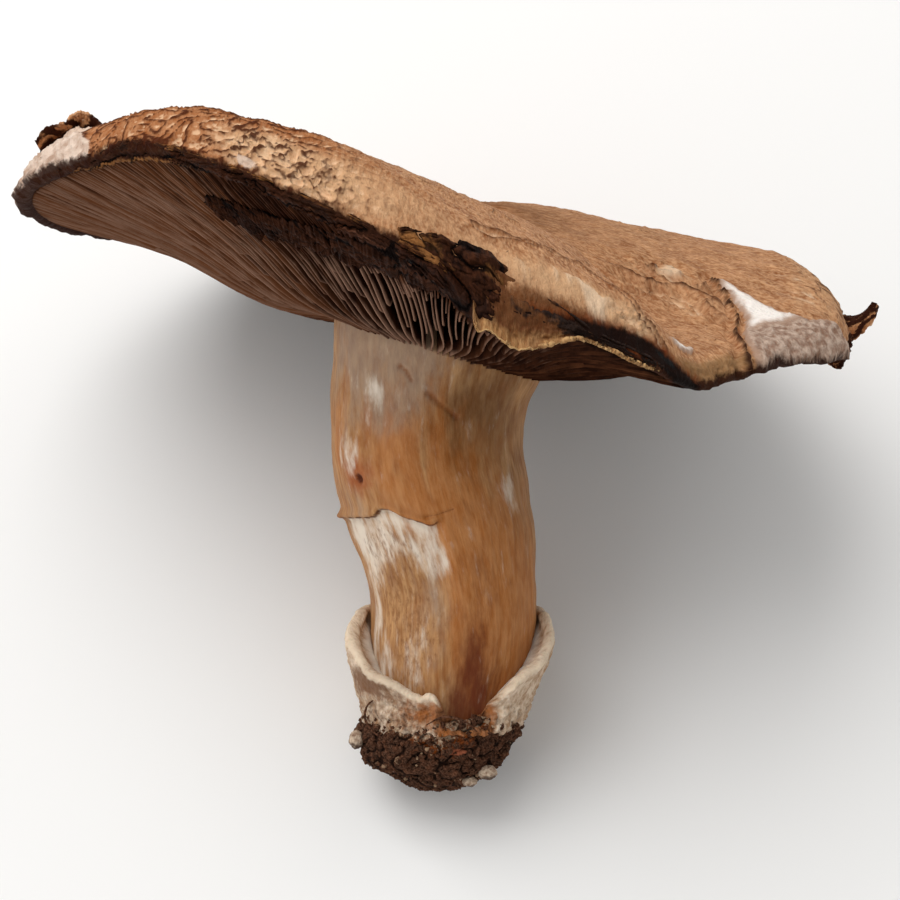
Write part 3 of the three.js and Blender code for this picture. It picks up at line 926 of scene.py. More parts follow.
# Patches of each kind of skin: how strong they are, then their direction in degrees, how far in from the rim they
# are in mm, and their half sizes in degrees and mm.
SKIN_PATCHES: dict[str, tuple[tuple[float, Spot], ...]] = {
    "scaly": ((1.3, (226, 8, 27, 12)), (0.5, (190, 12, 25, 14))),
    "flaky": ((1.5, (249, 3.4, 10, 3.6)), (1.1, (298.5, 5.5, 4.2, 2.8))),
    "cracked": ((1.2, (2, 8, 18, 9)),),
    "grit": ((1.2, (314, 1.8, 9, 2.0)),),
    "pale": ((0.8, (287, 6.5, 11, 4)), (0.55, (262, 6, 14, 6))),
    "streak_and_highlight": ((1.3, (292, 6, 1.3, 3.2)),),
    "brown": ((0.9, (283, 1.2, 8, 3.0)), (1.0, (298, 1.0, 12, 2.6))),
}

# Features near the rim: mm along it from the direction of 290 degrees, and mm in from its edge.
SKIN_SEAM = [(-16, 11.0), (-9, 14.2), (-2.3, 16.0), (4.5, 18.0), (8.0, 14.0), (10.2, 10.5), (12.5, 6.5), (15, 3.5)]
SCORCH = [(-9.5, -0.8), (-4.0, -0.2), (1.5, 0.6), (7.0, 1.6), (12.0, 1.8), (17.0, 0.4), (22.0, -1.0)]
SOOT = [(14.0, 1.9), (17.0, 1.2)]


@dataclass
class CapForm:
    """The cap's own shape, from which its skin, flesh and gills are all worked out."""

    centre_x: float = -2.0
    top: float = 103.0
    shoulder: float = 0.88
    stem_radius: float = 18.0
    gill_depth: float = 5.2
    gill_root: float = 1.0

    def column(self, column: Column, angle: Array) -> Array:
        """One column of the table at each angle."""
        return round_rail(CAP_STATIONS, column.value, angle)

    def skin(self, angle: Array, share: Array) -> Array:
        """Points on the skin.

        Args:
            angle: direction from the cap's centre, in radians.
            share: 0 at the middle and 1 at the rim.

        Returns:
            A smooth rail out to the shoulder, then a quarter ellipse down to the rim.
        """
        radius, rim, shoulder, mid, inner = (
            self.column(c, angle) for c in (Column.RADIUS, Column.RIM, Column.SHOULDER, Column.MID, Column.INNER)
        )
        edge = self.shoulder
        body = rail([0, 0.35, 0.65, edge], [self.top + 0 * angle, inner, mid, shoulder], np.minimum(share, edge))
        k = unit((share - edge) / (1 - edge))
        carry = (shoulder - mid) / (edge - 0.65) * (share - edge) * (1 - k) * 0.6
        fall = (rim + 1 - shoulder) * (1 - np.sqrt(unit(1 - k * k)))
        return self.polar(angle, radius * share, np.where(share <= edge, body, shoulder + carry + fall))

    def gill_edge(self, angle: Array, share: Array) -> Array:
        """Points on the gills' free edges.

        Args:
            angle: direction from the cap's centre, in radians.
            share: 0 at the stem and 1 at the lip.

        Returns:
            A smooth rail from the stem, through two heights under the cap, to the rim.
        """
        knots = [self.column(c, angle) for c in (Column.JOIN, Column.GILL_INNER, Column.GILL_MID, Column.RIM)]
        lip = 0.97 * self.column(Column.RADIUS, angle)
        r = self.stem_radius + (lip - self.stem_radius) * share
        return self.polar(angle, r, rail([0, 0.25, 0.55, 1], knots, share))

    def depth(self, share: Array) -> Array:
        """How deep the gills are: even over most of their length, then tapering to the lip."""
        return self.gill_root + self.gill_depth * (1 - share**5)

    def polar(self, angle: Array, radius: Array, z: Array) -> Array:
        """Points from an angle and radius about the cap's centre, and a height."""
        x, y = self.centre_x + radius * np.cos(angle), radius * np.sin(angle)
        return np.stack(np.broadcast_arrays(x, y, z), -1)


@dataclass
class Cap:
    """Skin, torn flesh and underside of the cap as one closed surface."""

    form: CapForm
    columns: int = 840
    crowding: float = 0.35
    grain: Grain = field(default_factory=lambda: Grain(11))

    def rings(self) -> tuple[Array, int]:
        """The cap's smooth shape.

        Returns:
            Every ring from the middle over the rim to the underside, and how many of them are skin.
        """
        form, angle = self.form, near_side(self.columns, self.crowding)
        quarter = np.sin(np.linspace(0, np.pi / 2, 37)[1:])
        shares = [np.linspace(0.02, 0.5, 20)[:-1], np.linspace(0.5, form.shoulder, 42)]
        shares = np.concatenate([*shares, form.shoulder + (1 - form.shoulder) * quarter])
        skin = form.skin(angle[None, :], shares[:, None])
        radius, rim = form.column(Column.RADIUS, angle), form.column(Column.RIM, angle)
        lip = [(1.0, 0.45), (0.993, 0.08), (0.982, -0.05), (0.97, 0.5)]
        under = [form.polar(angle, radius * k, rim + dz) for k, dz in lip]
        for share in (0.96, 0.9, 0.8, 0.6, 0.35, 0.0):
            edge = form.gill_edge(angle, np.full_like(angle, share))
            edge[:, 2] += form.depth(np.float64(share)) + (1.2 if share == 0 else 0)
            under.append(edge)
        under.append(form.polar(angle, 8.0, 84.5 - 0.31 * 8 * np.cos(angle)))
        return np.concatenate([skin, np.array(under)]), len(shares)

    def build(self) -> Surface:
        """Works the skin's relief and the values that its finish reads.

        Returns:
            The rings, moved along their normals by the relief, from the underside up to the middle.
        """
        points, skin_rings = self.rings()
        grain = self.grain
        angle = np.broadcast_to(near_side(self.columns, self.crowding), points.shape[:2])
        steps = np.linalg.norm(np.diff(points, axis=0), axis=-1)
        length = np.concatenate([np.zeros((1, self.columns)), np.cumsum(steps, axis=0)])
        edge = length[skin_rings - 1] - length
        x, y, z = points[..., 0], points[..., 1], points[..., 2]
        on_top = ease(edge, -0.6, 0.2)
        lap = angle / (2 * np.pi)
        arc = np.radians(turn_from(angle, 290)) * 65

        def patch(kind: str) -> Array:
            """All the patches of one kind together."""
            return sum(strength * blob(angle, edge, at) for strength, at in SKIN_PATCHES[kind])

        # Where each kind of surface lies, from 0 to 1.
        near_left = sector(angle, 240, (-70, -50), (40, 10))
        scaly = unit(unit(patch("scaly")) + 0.35 * ease(edge, 26, 12) * near_left)
        flaky = unit(patch("flaky"))
        crumple = unit(1.3 * spot(x, y, (35, -15.5, 9, 5.5)) + spot(x, y, (43, -21, 4.5, 5))) * on_top
        cracked = unit(patch("cracked")) * on_top
        skyline = 8.2 + 2.2 * grain.rough(lap * 90, 0 * lap, 3.0, 90, 4) + 1.2 * bump(turn_from(angle, 287), 0, 3)
        band = ease(edge, skyline + 0.4, skyline - 0.5) * ease(edge, 0.5, 8.5)
        band = band * sector(angle, 285, (-9, -2), (14, 8))
        strands = ease(grain.at(lap * 190, edge / 9, 5.0, 190) + 0.6 * grain.at(lap * 90, edge / 6, 1.0, 90), -0.5, 0.5)
        band = band * (0.1 + 0.8 * strands) * (0.6 + 0.5 * bump(turn_from(angle, 290.5), 0, 4.5))
        grit = unit(patch("grit"))
        reach = 10.5 * np.sqrt(unit(1 - (turn_from(angle, 187) / 27) ** 2)) - 1.0
        flesh = ease(edge - reach + 1.6 * grain.rough(arc / 4, edge / 4, 2.0), 0.6, -0.6)
        disc = ease(np.hypot(x, y) + 5 * grain.rough(x / 9, y / 9, 1.2), 30, 12)

        # Signed distances in mm, positive inside.
        tear = path_distance(x, y, WHITE_TEAR, True) + 0.45 * grain.rough(x / 2.5, y / 2.5, 1.7)
        tear = np.where(edge > -0.8, tear, -3.0)
        hole = 1.3 - np.hypot(turn_from(angle, 309.5) / 3.6, (edge - 6.6) / 1.25) * 1.2
        hole = np.where(edge > 0, hole + 0.3 * grain.at(x, y), -3.0)
        nick = 1.2 - np.hypot(turn_from(angle, 244) / 2.2, edge - 1.2)
        crack = 0.5 - path_distance(x, y, SKIN_CRACK) + 0.3 * grain.at(x / 1.5, y / 1.5)
        crack = np.where(edge > 0, crack, -3.0)
        ridge = 0.25 - path_distance(x, y, RIDGE_CRACK) + 0.3 * grain.at(x / 2, y / 2, 4.0)
        scorch = path_distance(arc, edge, SCORCH)
        split = grain.folds(x / 8 + 0.3 * grain.at(x / 5, y / 5), y / 6, 4.4, octaves=1)
        split = 0.09 - split - 0.25 * ease(grain.at(x / 14, y / 14, 8.0), 0.15, -0.15)

        # Relief in mm: long folds along the rim on the left, cushions and flakes nearer the middle.
        sway = 0.9 * grain.at(lap * 70, length / 7, 5.0, 70)
        wavy = grain.folds(lap * 120, length / 1.7 + lap * 60 + 1.1 * sway, 0.0, 120, 3)
        flakes = grain.folds(arc / 1.9 + 0.8 * sway, edge / 1.5, 7.7, octaves=3)
        knobby = grain.folds(x / 7.0 + 0.5 * y / 3, y / 3.6 + sway * 0.4, 3.3, octaves=3)
        pleats = grain.folds(lap * 150, length / 9 + 0.5 * sway, 2.0, 150, 2)
        astray = arc + 1.1 * grain.rough(x / 5, y / 5, 3.1), edge + 1.3 * grain.rough(x / 4, y / 4, 5.1)
        seam = path_distance(*astray, SKIN_SEAM)
        cushions = grain.rough(x / 6, y / 6, 9.0, octaves=5)
        relief = 0.22 * grain.rough(lap * 150, length / 5, 0.0, 150, 4) * on_top
        relief += 0.48 * cushions * on_top + 0.6 * grain.at(x / 17, y / 17, 6.0) * on_top
        relief += scaly * 1.05 * (wavy - 0.45)
        relief += flaky * 1.5 * (flakes - 0.4)
        relief += crumple * 3.2 * (knobby - 0.4)
        relief += cracked * 1.1 * (pleats - 0.5)
        relief -= 0.35 * ease(edge, skyline + 0.3, skyline - 0.3) * unit(2 * band)
        relief += (0.3 * bump(seam, 0, 0.9) - 0.45 * bump(seam, 0.9, 0.4)) * on_top
        relief -= 0.22 * ease(split, 0.0, 0.08) * on_top
        relief -= 0.8 * ease(tear, 0, 0.7) + 0.6 * ease(hole, 0, 0.5) + 1.0 * ease(crack, 0, 0.5)
        lip = bump(path_distance(x, y, SKIN_CRACK), 1.2, 0.7) * ease(tear, 0.2, -0.4) * on_top
        relief += (0.8 + 0.5 * grain.at(x / 2, y / 2, 3.0)) * lip - 0.4 * ease(ridge, 0, 0.2) * on_top
        relief += grit * 0.5 * grain.rough(x / 1.1, y / 1.1, z / 1.1)
        flange = bump(edge, 0, 2.4) * (0.9 * grain.rough(lap * 76, edge / 4, 2.2, 76) - 0.15)
        relief += flange * (0.5 + 0.7 * ease(turn_from(angle, 330), -30, 0))
        far_rim = sector(angle, 140, (-50, -35), (50, 38))
        far_left = sector(angle, 165, (-50, -20), (45, 25))
        relief += far_left * bump(edge, 0, 3.5) * (1.6 * grain.rough(lap * 26, 0 * edge, 5.5, 26, 3) - 0.3)
        crust_and_shade = self.crust_and_shade(angle, edge, lap)
        relief += 0.5 * ease(crust_and_shade, 0, 1.2) * grain.rough(arc / 1.8, edge / 1.8, 4.4, octaves=3)
        relief += flesh * (0.7 * grain.rough(arc / 3, edge / 3, 8.0) - 0.5) * on_top
        skin_part = ease(np.arange(len(points)), skin_rings + 4, skin_rings)[:, None]
        points = points + grid_normals(points) * (relief * skin_part)[..., None]

        values = {
            "flow": around(60, angle, length),
            "flat": np.stack([x, y, 1.2 * np.minimum(edge, 14)], -1),
            "scaly": scaly,
            "pale": unit(patch("pale") + flaky + 0.4 * crumple + 0.6 * cracked + 0.35 * band),
            # Painted highlight on the crests of the folds, knobs and flakes.
            "crest_highlight": unit(
                scaly * ease(wavy, 0.45, 0.85)
                + 0.8 * crumple * ease(knobby, 0.5, 0.9)
                + flaky * ease(flakes, 0.3, 0.7)
            ),
            # Painted shade in the creases, and in the groove beside the seam.
            "crease_shade": unit(
                0.95 * scaly * ease(wavy, 0.40, 0.12)
                + 0.8 * crumple * ease(knobby, 0.28, 0.06)
                + 0.7 * flaky * ease(flakes, 0.34, 0.08)
                + 0.8 * cracked * ease(pleats, 0.28, 0.06)
                + 0.7 * bump(seam, 0.9, 0.35) * on_top
            ),
            # Real pale streaks, with painted highlights on the pleat and knob crests, the seam's ridge and one bright
            # spot.
            "streak_and_highlight": unit(
                band
                + patch("streak_and_highlight")
                + cracked * ease(pleats, 0.55, 0.85)
                + 0.5 * bump(seam, 0.1, 0.35) * on_top
                + 1.4 * spot(x, y, (37.5, -12.5, 2.4, 1.3)) * on_top
                + 0.7 * crumple * ease(knobby, 0.55, 0.9)
            ),
            "grit": grit,
            "brown": unit(patch("brown") + 0.45 * disc * on_top + far_rim * ease(edge, 0.7, -0.3)),
            "outer": ease(np.hypot(x, y), 4, 16),
            "rust": np.where(edge > -1, 3.1 - scorch, -2.0) - 2.5 * ease(turn_from(angle, 283), 0, -12),
            "flesh": 2.4 * flesh * on_top + 1.6 * ease(nick, 0, 0.8) - 0.5,
            "fleshy": flesh * on_top,
            "tear": np.maximum(tear, np.where(edge > 0, hole, -3)),
            "raw": np.maximum(np.minimum(tear - 0.4, 0.7 * (edge - 8.4)), np.where(edge > 0, 1.4 * (hole - 0.3), -3)),
            "margin": ease(tear, 0.2, 1.0) * ease(edge, 9.5, 6.5),
            # The dark dried rim band, with painted shade over the rim's underside.
            "crust_and_shade": crust_and_shade,
            "char": 1.7 - scorch,
            "soot": 0.9 - path_distance(arc, edge, SOOT),
            "crack": np.maximum(np.maximum(crack, ridge * on_top), 5.0 * split - 3.0 * (1 - on_top)),
        }
        return closed_grid(points[::-1, :], {name: v[::-1, :] for name, v in values.items()})

    def crust_and_shade(self, angle: Array, edge: Array, lap: Array) -> Array:
        """The dark dried band along the rim, and painted shade under it.

        Args:
            angle: direction of each point, in radians.
            edge: its distance in from the rim, in mm.
            lap: its share of a turn.

        Returns:
            How far each point lies in the band, in mm: the band's own width there, less its distance.
        """
        width = 0.6 + 0.7 * sector(angle, 318, (-12, 0), (14, 8))
        width = width + 1.0 * bump(turn_from(angle, 222), 0, 12) + 2.6 * bump(turn_from(angle, 273), 0, 5)
        width = width + 0.5 * sector(angle, 194, (-40, -24), (24, 14))
        width = width * (1 + 0.7 * self.grain.rough(lap * 80, edge / 5, 6.6, 80))
        return np.maximum(width, 0.3) - edge


# ---------------------------------------------------------------- the gills
@dataclass
class Gills:
    """Thin radial blades in three lengths, hung from the cap's flesh."""

    form: CapForm
    full_length: int = 120
    stations: int = 20
    thick: float = 0.26
    # Corners of a blade's section: how far down it they are, and to which side in half thicknesses.
    section: tuple[tuple[float, float], ...] = (
        (0.0, 1.5),
        (0.6, 1.0),
        (1.0, 0.9),
        (1.0, -0.9),
        (0.6, -1.0),
        (0.0, -1.5),
    )
    grain: Grain = field(default_factory=lambda: Grain(23))

    def build(self) -> Surface:
        """Works out every blade at once: a thin wedge whose free edge follows the cap's gill line.

        Returns:
            The blades, each a strip of six-sided sections with its ends closed.
        """
        rng = np.random.default_rng(5)
        count = 4 * self.full_length
        order = np.arange(count)
        angle = 2 * np.pi * (order + 0.3 * rng.uniform(-1, 1, count)) / count
        start = np.where(order % 4 == 0, 0.0, np.where(order % 4 == 2, 0.20, 0.46))
        start = start + np.where(order % 4 == 0, 0.0, rng.uniform(-0.07, 0.10, count))
        t = np.linspace(0, 1, self.stations)
        share = start[:, None] + (1.0 - start[:, None]) * t
        sway = 2.2 * self.grain.at(order[:, None] / 26, share * 2.2, 0.0, count // 26)
        sway = sway + 0.35 * self.grain.at(order[:, None] / 3.0, share * 4, 9.0)
        bearing = angle[:, None] + np.radians(sway) * (1 - share * 0.5)
        edge = self.form.gill_edge(bearing, share)
        lip_taper = np.where(start[:, None] > 0.1, ease(t, 0, 0.16) ** 0.5 * np.ones_like(share), 1.0)
        depth = self.form.depth(share) * lip_taper * rng.uniform(0.93, 1.0, count)[:, None]
        root = self.form.depth(share) + 0.5
        wobble = 0.35 * self.grain.rough(order[:, None] / 1.5, share * 14, 3.0, octaves=2)
        side = np.stack([-np.sin(bearing), np.cos(bearing), np.zeros_like(bearing)], -1)
        lean = 0.5 * self.grain.at(order[:, None] / 9, share * 3, 6.0) * ease(share, 1.0, 0.85)
        rows = []
        for down, width in self.section:
            point = edge.copy()
            point[..., 2] += root - down * (depth + 0.5 + wobble * 0.6)
            point += side * (0.5 * self.thick * width + lean * down)[..., None]
            rows.append(point)
        points = np.stack(rows, 2)
        sides, n = len(self.section), self.stations
        base = (np.arange(count) * n * sides)[:, None, None]
        k, i = np.arange(n - 1)[:, None], np.arange(sides)
        j = (i + 1) % sides
        quads = np.stack([k * sides + i, (k + 1) * sides + i, (k + 1) * sides + j, k * sides + j], -1)
        quads = (base[..., None] + quads[None]).reshape(-1, 4)
        first = np.array([[0, 1, 4, 5], [1, 2, 3, 4]])
        last = (n - 1) * sides + first[:, ::-1]
        caps = (base + np.concatenate([first, last])[None]).reshape(-1, 4)
        marks = np.broadcast_to(np.array(self.section)[:, 0], (*share.shape, sides))
        spread = np.broadcast_to(share[..., None], marks.shape)
        turn = np.broadcast_to(bearing[..., None], marks.shape)
        left = ease(turn_from(turn, 246), 0, -40) * ease(turn_from(turn, 180), -70, -10)
        tone = np.broadcast_to(rng.uniform(-0.3, 0.3, count)[:, None, None], marks.shape)
        near = bump(turn_from(turn, 262), 0, 26) * ease(spread, 0.75, 0.45)
        values = {
            "flow": around(60, turn, 50 * spread),
            "edge": marks * unit(0.80 + 0.2 * near + 0.12 * left),
            "dusty": unit(0.1 + 0.8 * left + tone) * ease(marks, 0.3, 1.0),
            # Painted shade: darkest deep between the blades and near the lip, a little lighter on the left.
            "gap_shade": unit(0.9 * ease(spread, 0.9, 1.0) + 0.9 * ease(marks, 0.95, 0.3) - 0.25 * left),
        }
        named = {name: v.reshape(-1, *v.shape[3:]) for name, v in values.items()}
        return Surface(points.reshape(-1, 3), np.concatenate([quads, caps]), values=named)


# ---------------------------------------------------------------- torn veil and rim
# The golden flap: its direction in degrees, then how far it reaches below the rim's edge and above it, in mm.
FLAP_EDGES = (
    (274.9, 7.0, 3.0),
    (275.6, 7.6, 3.4),
    (276.4, 6.6, 3.8),
    (277.6, 6.3, 4.2),
    (279.5, 6.8, 4.4),
    (281.5, 6.2, 4.2),
    (283.5, 5.2, 3.8),
    (286.0, 3.6, 3.0),
    (288.4, 2.0, 2.0),
    (290.5, 1.2, 1.0),
    (293.0, 1.1, 0.6),
    (297.0, 1.4, 0.5),
    (300.0, 1.3, 0.4),
    (303.0, 0.3, 0.2),
)


@dataclass
class Veil:
    """What is left of the partial veil: a dark skirt, a clotted lump, a smear on the gills and a golden flap."""

    form: CapForm
    grain: Grain = field(default_factory=lambda: Grain(31))

    def rim_face(self, angle: Array, height: Array) -> Array:
        """Points on the rim's outer face.

        Args:
            angle: direction from the cap's centre, in radians.
            height: mm above the rim's lower edge; a point below it hangs straight down.

        Returns:
            Places on the quarter ellipse that CapForm.skin ends with.
        """
        radius, rim = self.form.column(Column.RADIUS, angle), self.form.column(Column.RIM, angle)
        face = self.form.column(Column.SHOULDER, angle) - rim - 1
        share = 0.88 + 0.12 * np.sqrt(unit(1 - (np.maximum(height, 0) / face) ** 2))
        return self.form.polar(angle, radius * share, rim + 0.9 + height)

    def hang(self, angle: Array, height: Array, outward: Array) -> Array:
        """The rim's face, moved away from the cap's axis.

        Args:
            angle: direction from the cap's centre, in radians.
            height: mm above the rim's lower edge.
            outward: mm to move it by.

        Returns:
            The moved points.
        """
        front = self.rim_face(angle, height)
        front[..., 0] += np.cos(angle) * outward
        front[..., 1] += np.sin(angle) * outward
        return front

    def skirt(self) -> Surface:
        """Dark ribbon that hangs from the rim, folded along its length, with a ragged hem and upper edge.

        Returns:
            A thin sheet, from its left end to its right and from its upper edge to its free one.
        """
        t, v = sheet_grid(520, 30)
        degrees = 204 + 72 * t + 0 * v
        angle = np.radians(degrees)
        low = rail([0, 0.12, 0.35, 0.6, 0.8, 0.9, 1], [0.4, 1.6, 2.2, 2.6, 3.4, 4.2, 4.6], t)
        high = rail([0, 0.12, 0.3, 0.42, 0.55, 0.8, 1], [0.3, 0.9, 1.4, 0.5, 0.2, 0.2, 0.6], t)
        low = low * (1 + 0.3 * self.grain.rough(t * 50, 0 * t, 1.0) + 0.15 * self.grain.at(t * 170, 0 * t))
        high = high * (1 + 0.5 * self.grain.rough(t * 46, 0 * t, 7.0) + 0.25 * self.grain.at(t * 150, 0 * t, 3.0))
        height = high - (high + low) * v
        ropes = self.grain.folds(t * 11 + 0.8 * self.grain.at(t * 9, v), v * 2.3 + t * 6, 4.0, octaves=2)
        crumbs = self.grain.rough(t * 70, v * 3, 8.0, octaves=2)
        hem = ease(v, 0.0, 0.15) * ease(v, 1.0, 0.85)
        outward = -0.15 + hem * (0.25 + 1.4 * (ropes - 0.3) + 0.22 * crumbs)
        outward = outward - 0.55 * np.maximum(-height, 0)
        gold = 1.2 * bump(degrees, 269.3, 2.0) * bump(v, 0.35, 0.4)
        gold = gold + 0.75 * bump(v, 0.93, 0.10) * ease(degrees, 243, 226) + 0.5 * bump(v, 0.04, 0.06)
        values = {
            "flow": np.stack([6 * v + 0 * t, 1.5 * ropes, 62 * angle], -1),
            "ochre": gold + 0.3 * ease(ropes, 0.6, 0.95) + 0.6 * bump(v, 0.13, 0.07) * bump(degrees, 244, 14),
            "bluish": unit(0.5 * ease(degrees, 250, 262) + 0 * v),
            "pink": 0.62 * bump(v, 0.75, 0.12) * ease(degrees, 250, 258),
            # Painted shade in the troughs between the ropes.
            "fold_shade": ease(ropes, 0.4, 0.1),
        }
        return thin_sheet(self.hang(angle, height, outward), 0.5, values)

    def clot(self) -> Surface:
        """Thick lump of dried veil that covers the rim where the skirt ends, rough all over.

        Returns:
            A thin sheet, from its left end to its right and from its upper edge to its free one.
        """
        t, v = sheet_grid(150, 150)
        degrees = 264.5 + 15.1 * t + 1.2 * self.grain.rough(v * 4, 0 * v, 5.0) * t - 1.8 * v * t
        angle = np.radians(degrees)
        high = rail([0, 0.25, 0.5, 0.8, 1], [1.5, 2.8, 4.2, 6.2, 6.0], t)
        low = rail([0, 0.25, 0.5, 0.8, 1], [2.6, 3.6, 5.0, 6.2, 5.2], t)
        high = high + 0.6 * self.grain.rough(t * 9, 0 * t, 1.0)
        low = low + 1.0 * self.grain.rough(t * 9, 0 * t, 2.0)
        height = high - (high + low) * v
        border = ease(np.minimum(np.minimum(t, 1 - t), np.minimum(v, 1 - v)), 0, 0.07)
        lumps = self.grain.folds(t * 3.2, v * 3.2, 3.0, octaves=2)
        fine = self.grain.rough(t * 9, v * 9, 6.0, octaves=3)
        outward = -0.3 + border * (0.5 + 1.7 * (lumps - 0.25) + 0.4 * fine) - 0.3 * np.maximum(-height, 0)
        gold = 1.15 * spot(t, v, (0.22, 0.35, 0.2, 0.26)) + 0.7 * spot(t, v, (0.86, 0.26, 0.12, 0.12))
        gold = gold + 0.35 * (1 - border)
        values = {
            "flow": around(60, angle, 11 * v),
            "ochre": gold + 0.15 * ease(lumps, 0.55, 0.9),
            "bluish": unit(0.8 * ease(v, 0.5, 0.8) + 0 * t),
            "pink": 0.6 * spot(t, v, (0.9, 0.62, 0.1, 0.1)),
            # Painted shade in the hollows between the lumps.
            "fold_shade": ease(lumps, 0.38, 0.1),
        }
        return thin_sheet(self.hang(angle, height, outward), 0.6, values)

    def smear(self) -> Surface:
        """Collapsed veil that lies on the gills' free edges, broad, wrinkled and torn at its borders.

        Returns:
            A thin sheet, from its left end to its right and from its upper edge to its free one.
        """
        t, v = sheet_grid(380, 40)
        angle = np.radians(rail([0, 0.25, 0.6, 1], [226.5, 236.0, 254.0, 276.0], t) + 0 * v)
        middle = rail([0, 0.2, 0.45, 0.7, 1], [0.77, 0.70, 0.70, 0.74, 0.86], t)
        half = rail([0, 0.05, 0.2, 0.4, 0.6, 0.8, 1], [0.01, 0.05, 0.075, 0.065, 0.09, 0.10, 0.12], t)
        upper = half * (1 + 0.5 * self.grain.rough(t * 26, 0 * t, 2.0) + 0.3 * self.grain.at(t * 90, 0 * t, 9.0))
        lower = half * (1 + 0.5 * self.grain.rough(t * 26, 0 * t, 6.0) + 0.3 * self.grain.at(t * 90, 0 * t, 4.0))
        share = middle - lower + (lower + upper) * v
        front = self.form.gill_edge(angle, share)
        ropes = self.grain.folds(t * 9, v * 2.2 + t * 2, 5.0, octaves=2)
        hem = ease(v, 0, 0.12) * ease(v, 1, 0.88)
        crumbs = self.grain.rough(t * 60, v * 5, 2.0, octaves=2)
        front[..., 2] -= 0.15 + hem * (0.4 + 1.6 * (ropes - 0.2)) + 0.2 * crumbs
        values = {
            "flow": np.stack([12 * v + 0 * t, 1.5 * ropes, 50 * angle], -1),
            "ochre": 0.2 * ease(ropes, 0.6, 0.95),
            "bluish": unit(1.3 * bump(t, 0.2, 0.12) * bump(v, 0.5, 0.35) + 0.6 * bump(t, 0.75, 0.06)) + 0 * share,
            "pink": 0.3 * bump(v, 0.1, 0.1) + 0 * share,
            # Painted shade in the troughs between the ropes.
            "fold_shade": ease(ropes, 0.4, 0.12),
        }
        return thin_sheet(front[:, ::-1], 0.35, {k: a[:, ::-1] for k, a in values.items()})

    def flap(self) -> Surface:
        """Golden flap under the rim, its free edge curled out and its left end torn.

        Returns:
            A thin sheet, from its left end to its right and from its upper edge to its free one.
        """
        t, v = sheet_grid(300, 46)
        degrees = 274.9 + 28.1 * t + 0 * v
        angle = np.radians(degrees)
        low, high = read_table(FLAP_EDGES, degrees[:, :1])
        low = low + 0.25 * self.grain.rough(t * 40, 0 * t, 3.0)
        height = high - (high + low) * v
        lip = ease(v, 0.74, 1.0) * ease(low, 0.4, 3.0) * (0.75 + 0.8 * self.grain.rough(t * 16, 0 * t, 8.0, octaves=3))
        folds = self.grain.rough(t * 14, v * 3, 1.0) + 0.35 * self.grain.rough(t * 60, v * 9, 2.0)
        creases = self.grain.folds(t * 10 + v, v * 5, 9.0, octaves=3)
        outward = 0.15 + 0.35 * folds + 0.45 * (creases - 0.4) * ease(v, 0.05, 0.3) + 1.5 * lip
        outward = outward - 0.5 * ease(v, 0.0, 0.1) * (1 - ease(v, 0.1, 0.3)) - 0.18 * np.maximum(-height, 0)
        front = self.hang(angle, height, outward)
        front[..., 2] += 0.8 * ease(v, 0.9, 1.0) * lip
        mottled = self.grain.rough(t * 9, v * 3, 4.0, octaves=3)
        black = ease(degrees, 284, 290) * ease(v, 0.95, 0.7) + 0.8 * ease(mottled, -0.1, 0.5) * ease(v, 0.75, 0.45)
        black = black + 0.5 * ease(degrees, 277, 281) * ease(v + 0.3 * mottled, 0.6, 0.25)
        values = {
            "flow": around(60, angle, 8 * v),
            # Browner towards the cap, with painted shade in the creases.
            "brown": unit(ease(v, 0.88, 0.6) + 0.25 * ease(creases, 0.6, 0.3)),
            "black": unit(black),
            "rim": ease(v, 0.9, 1.0) + 0 * t,
        }
        return thin_sheet(front, 0.35, values)


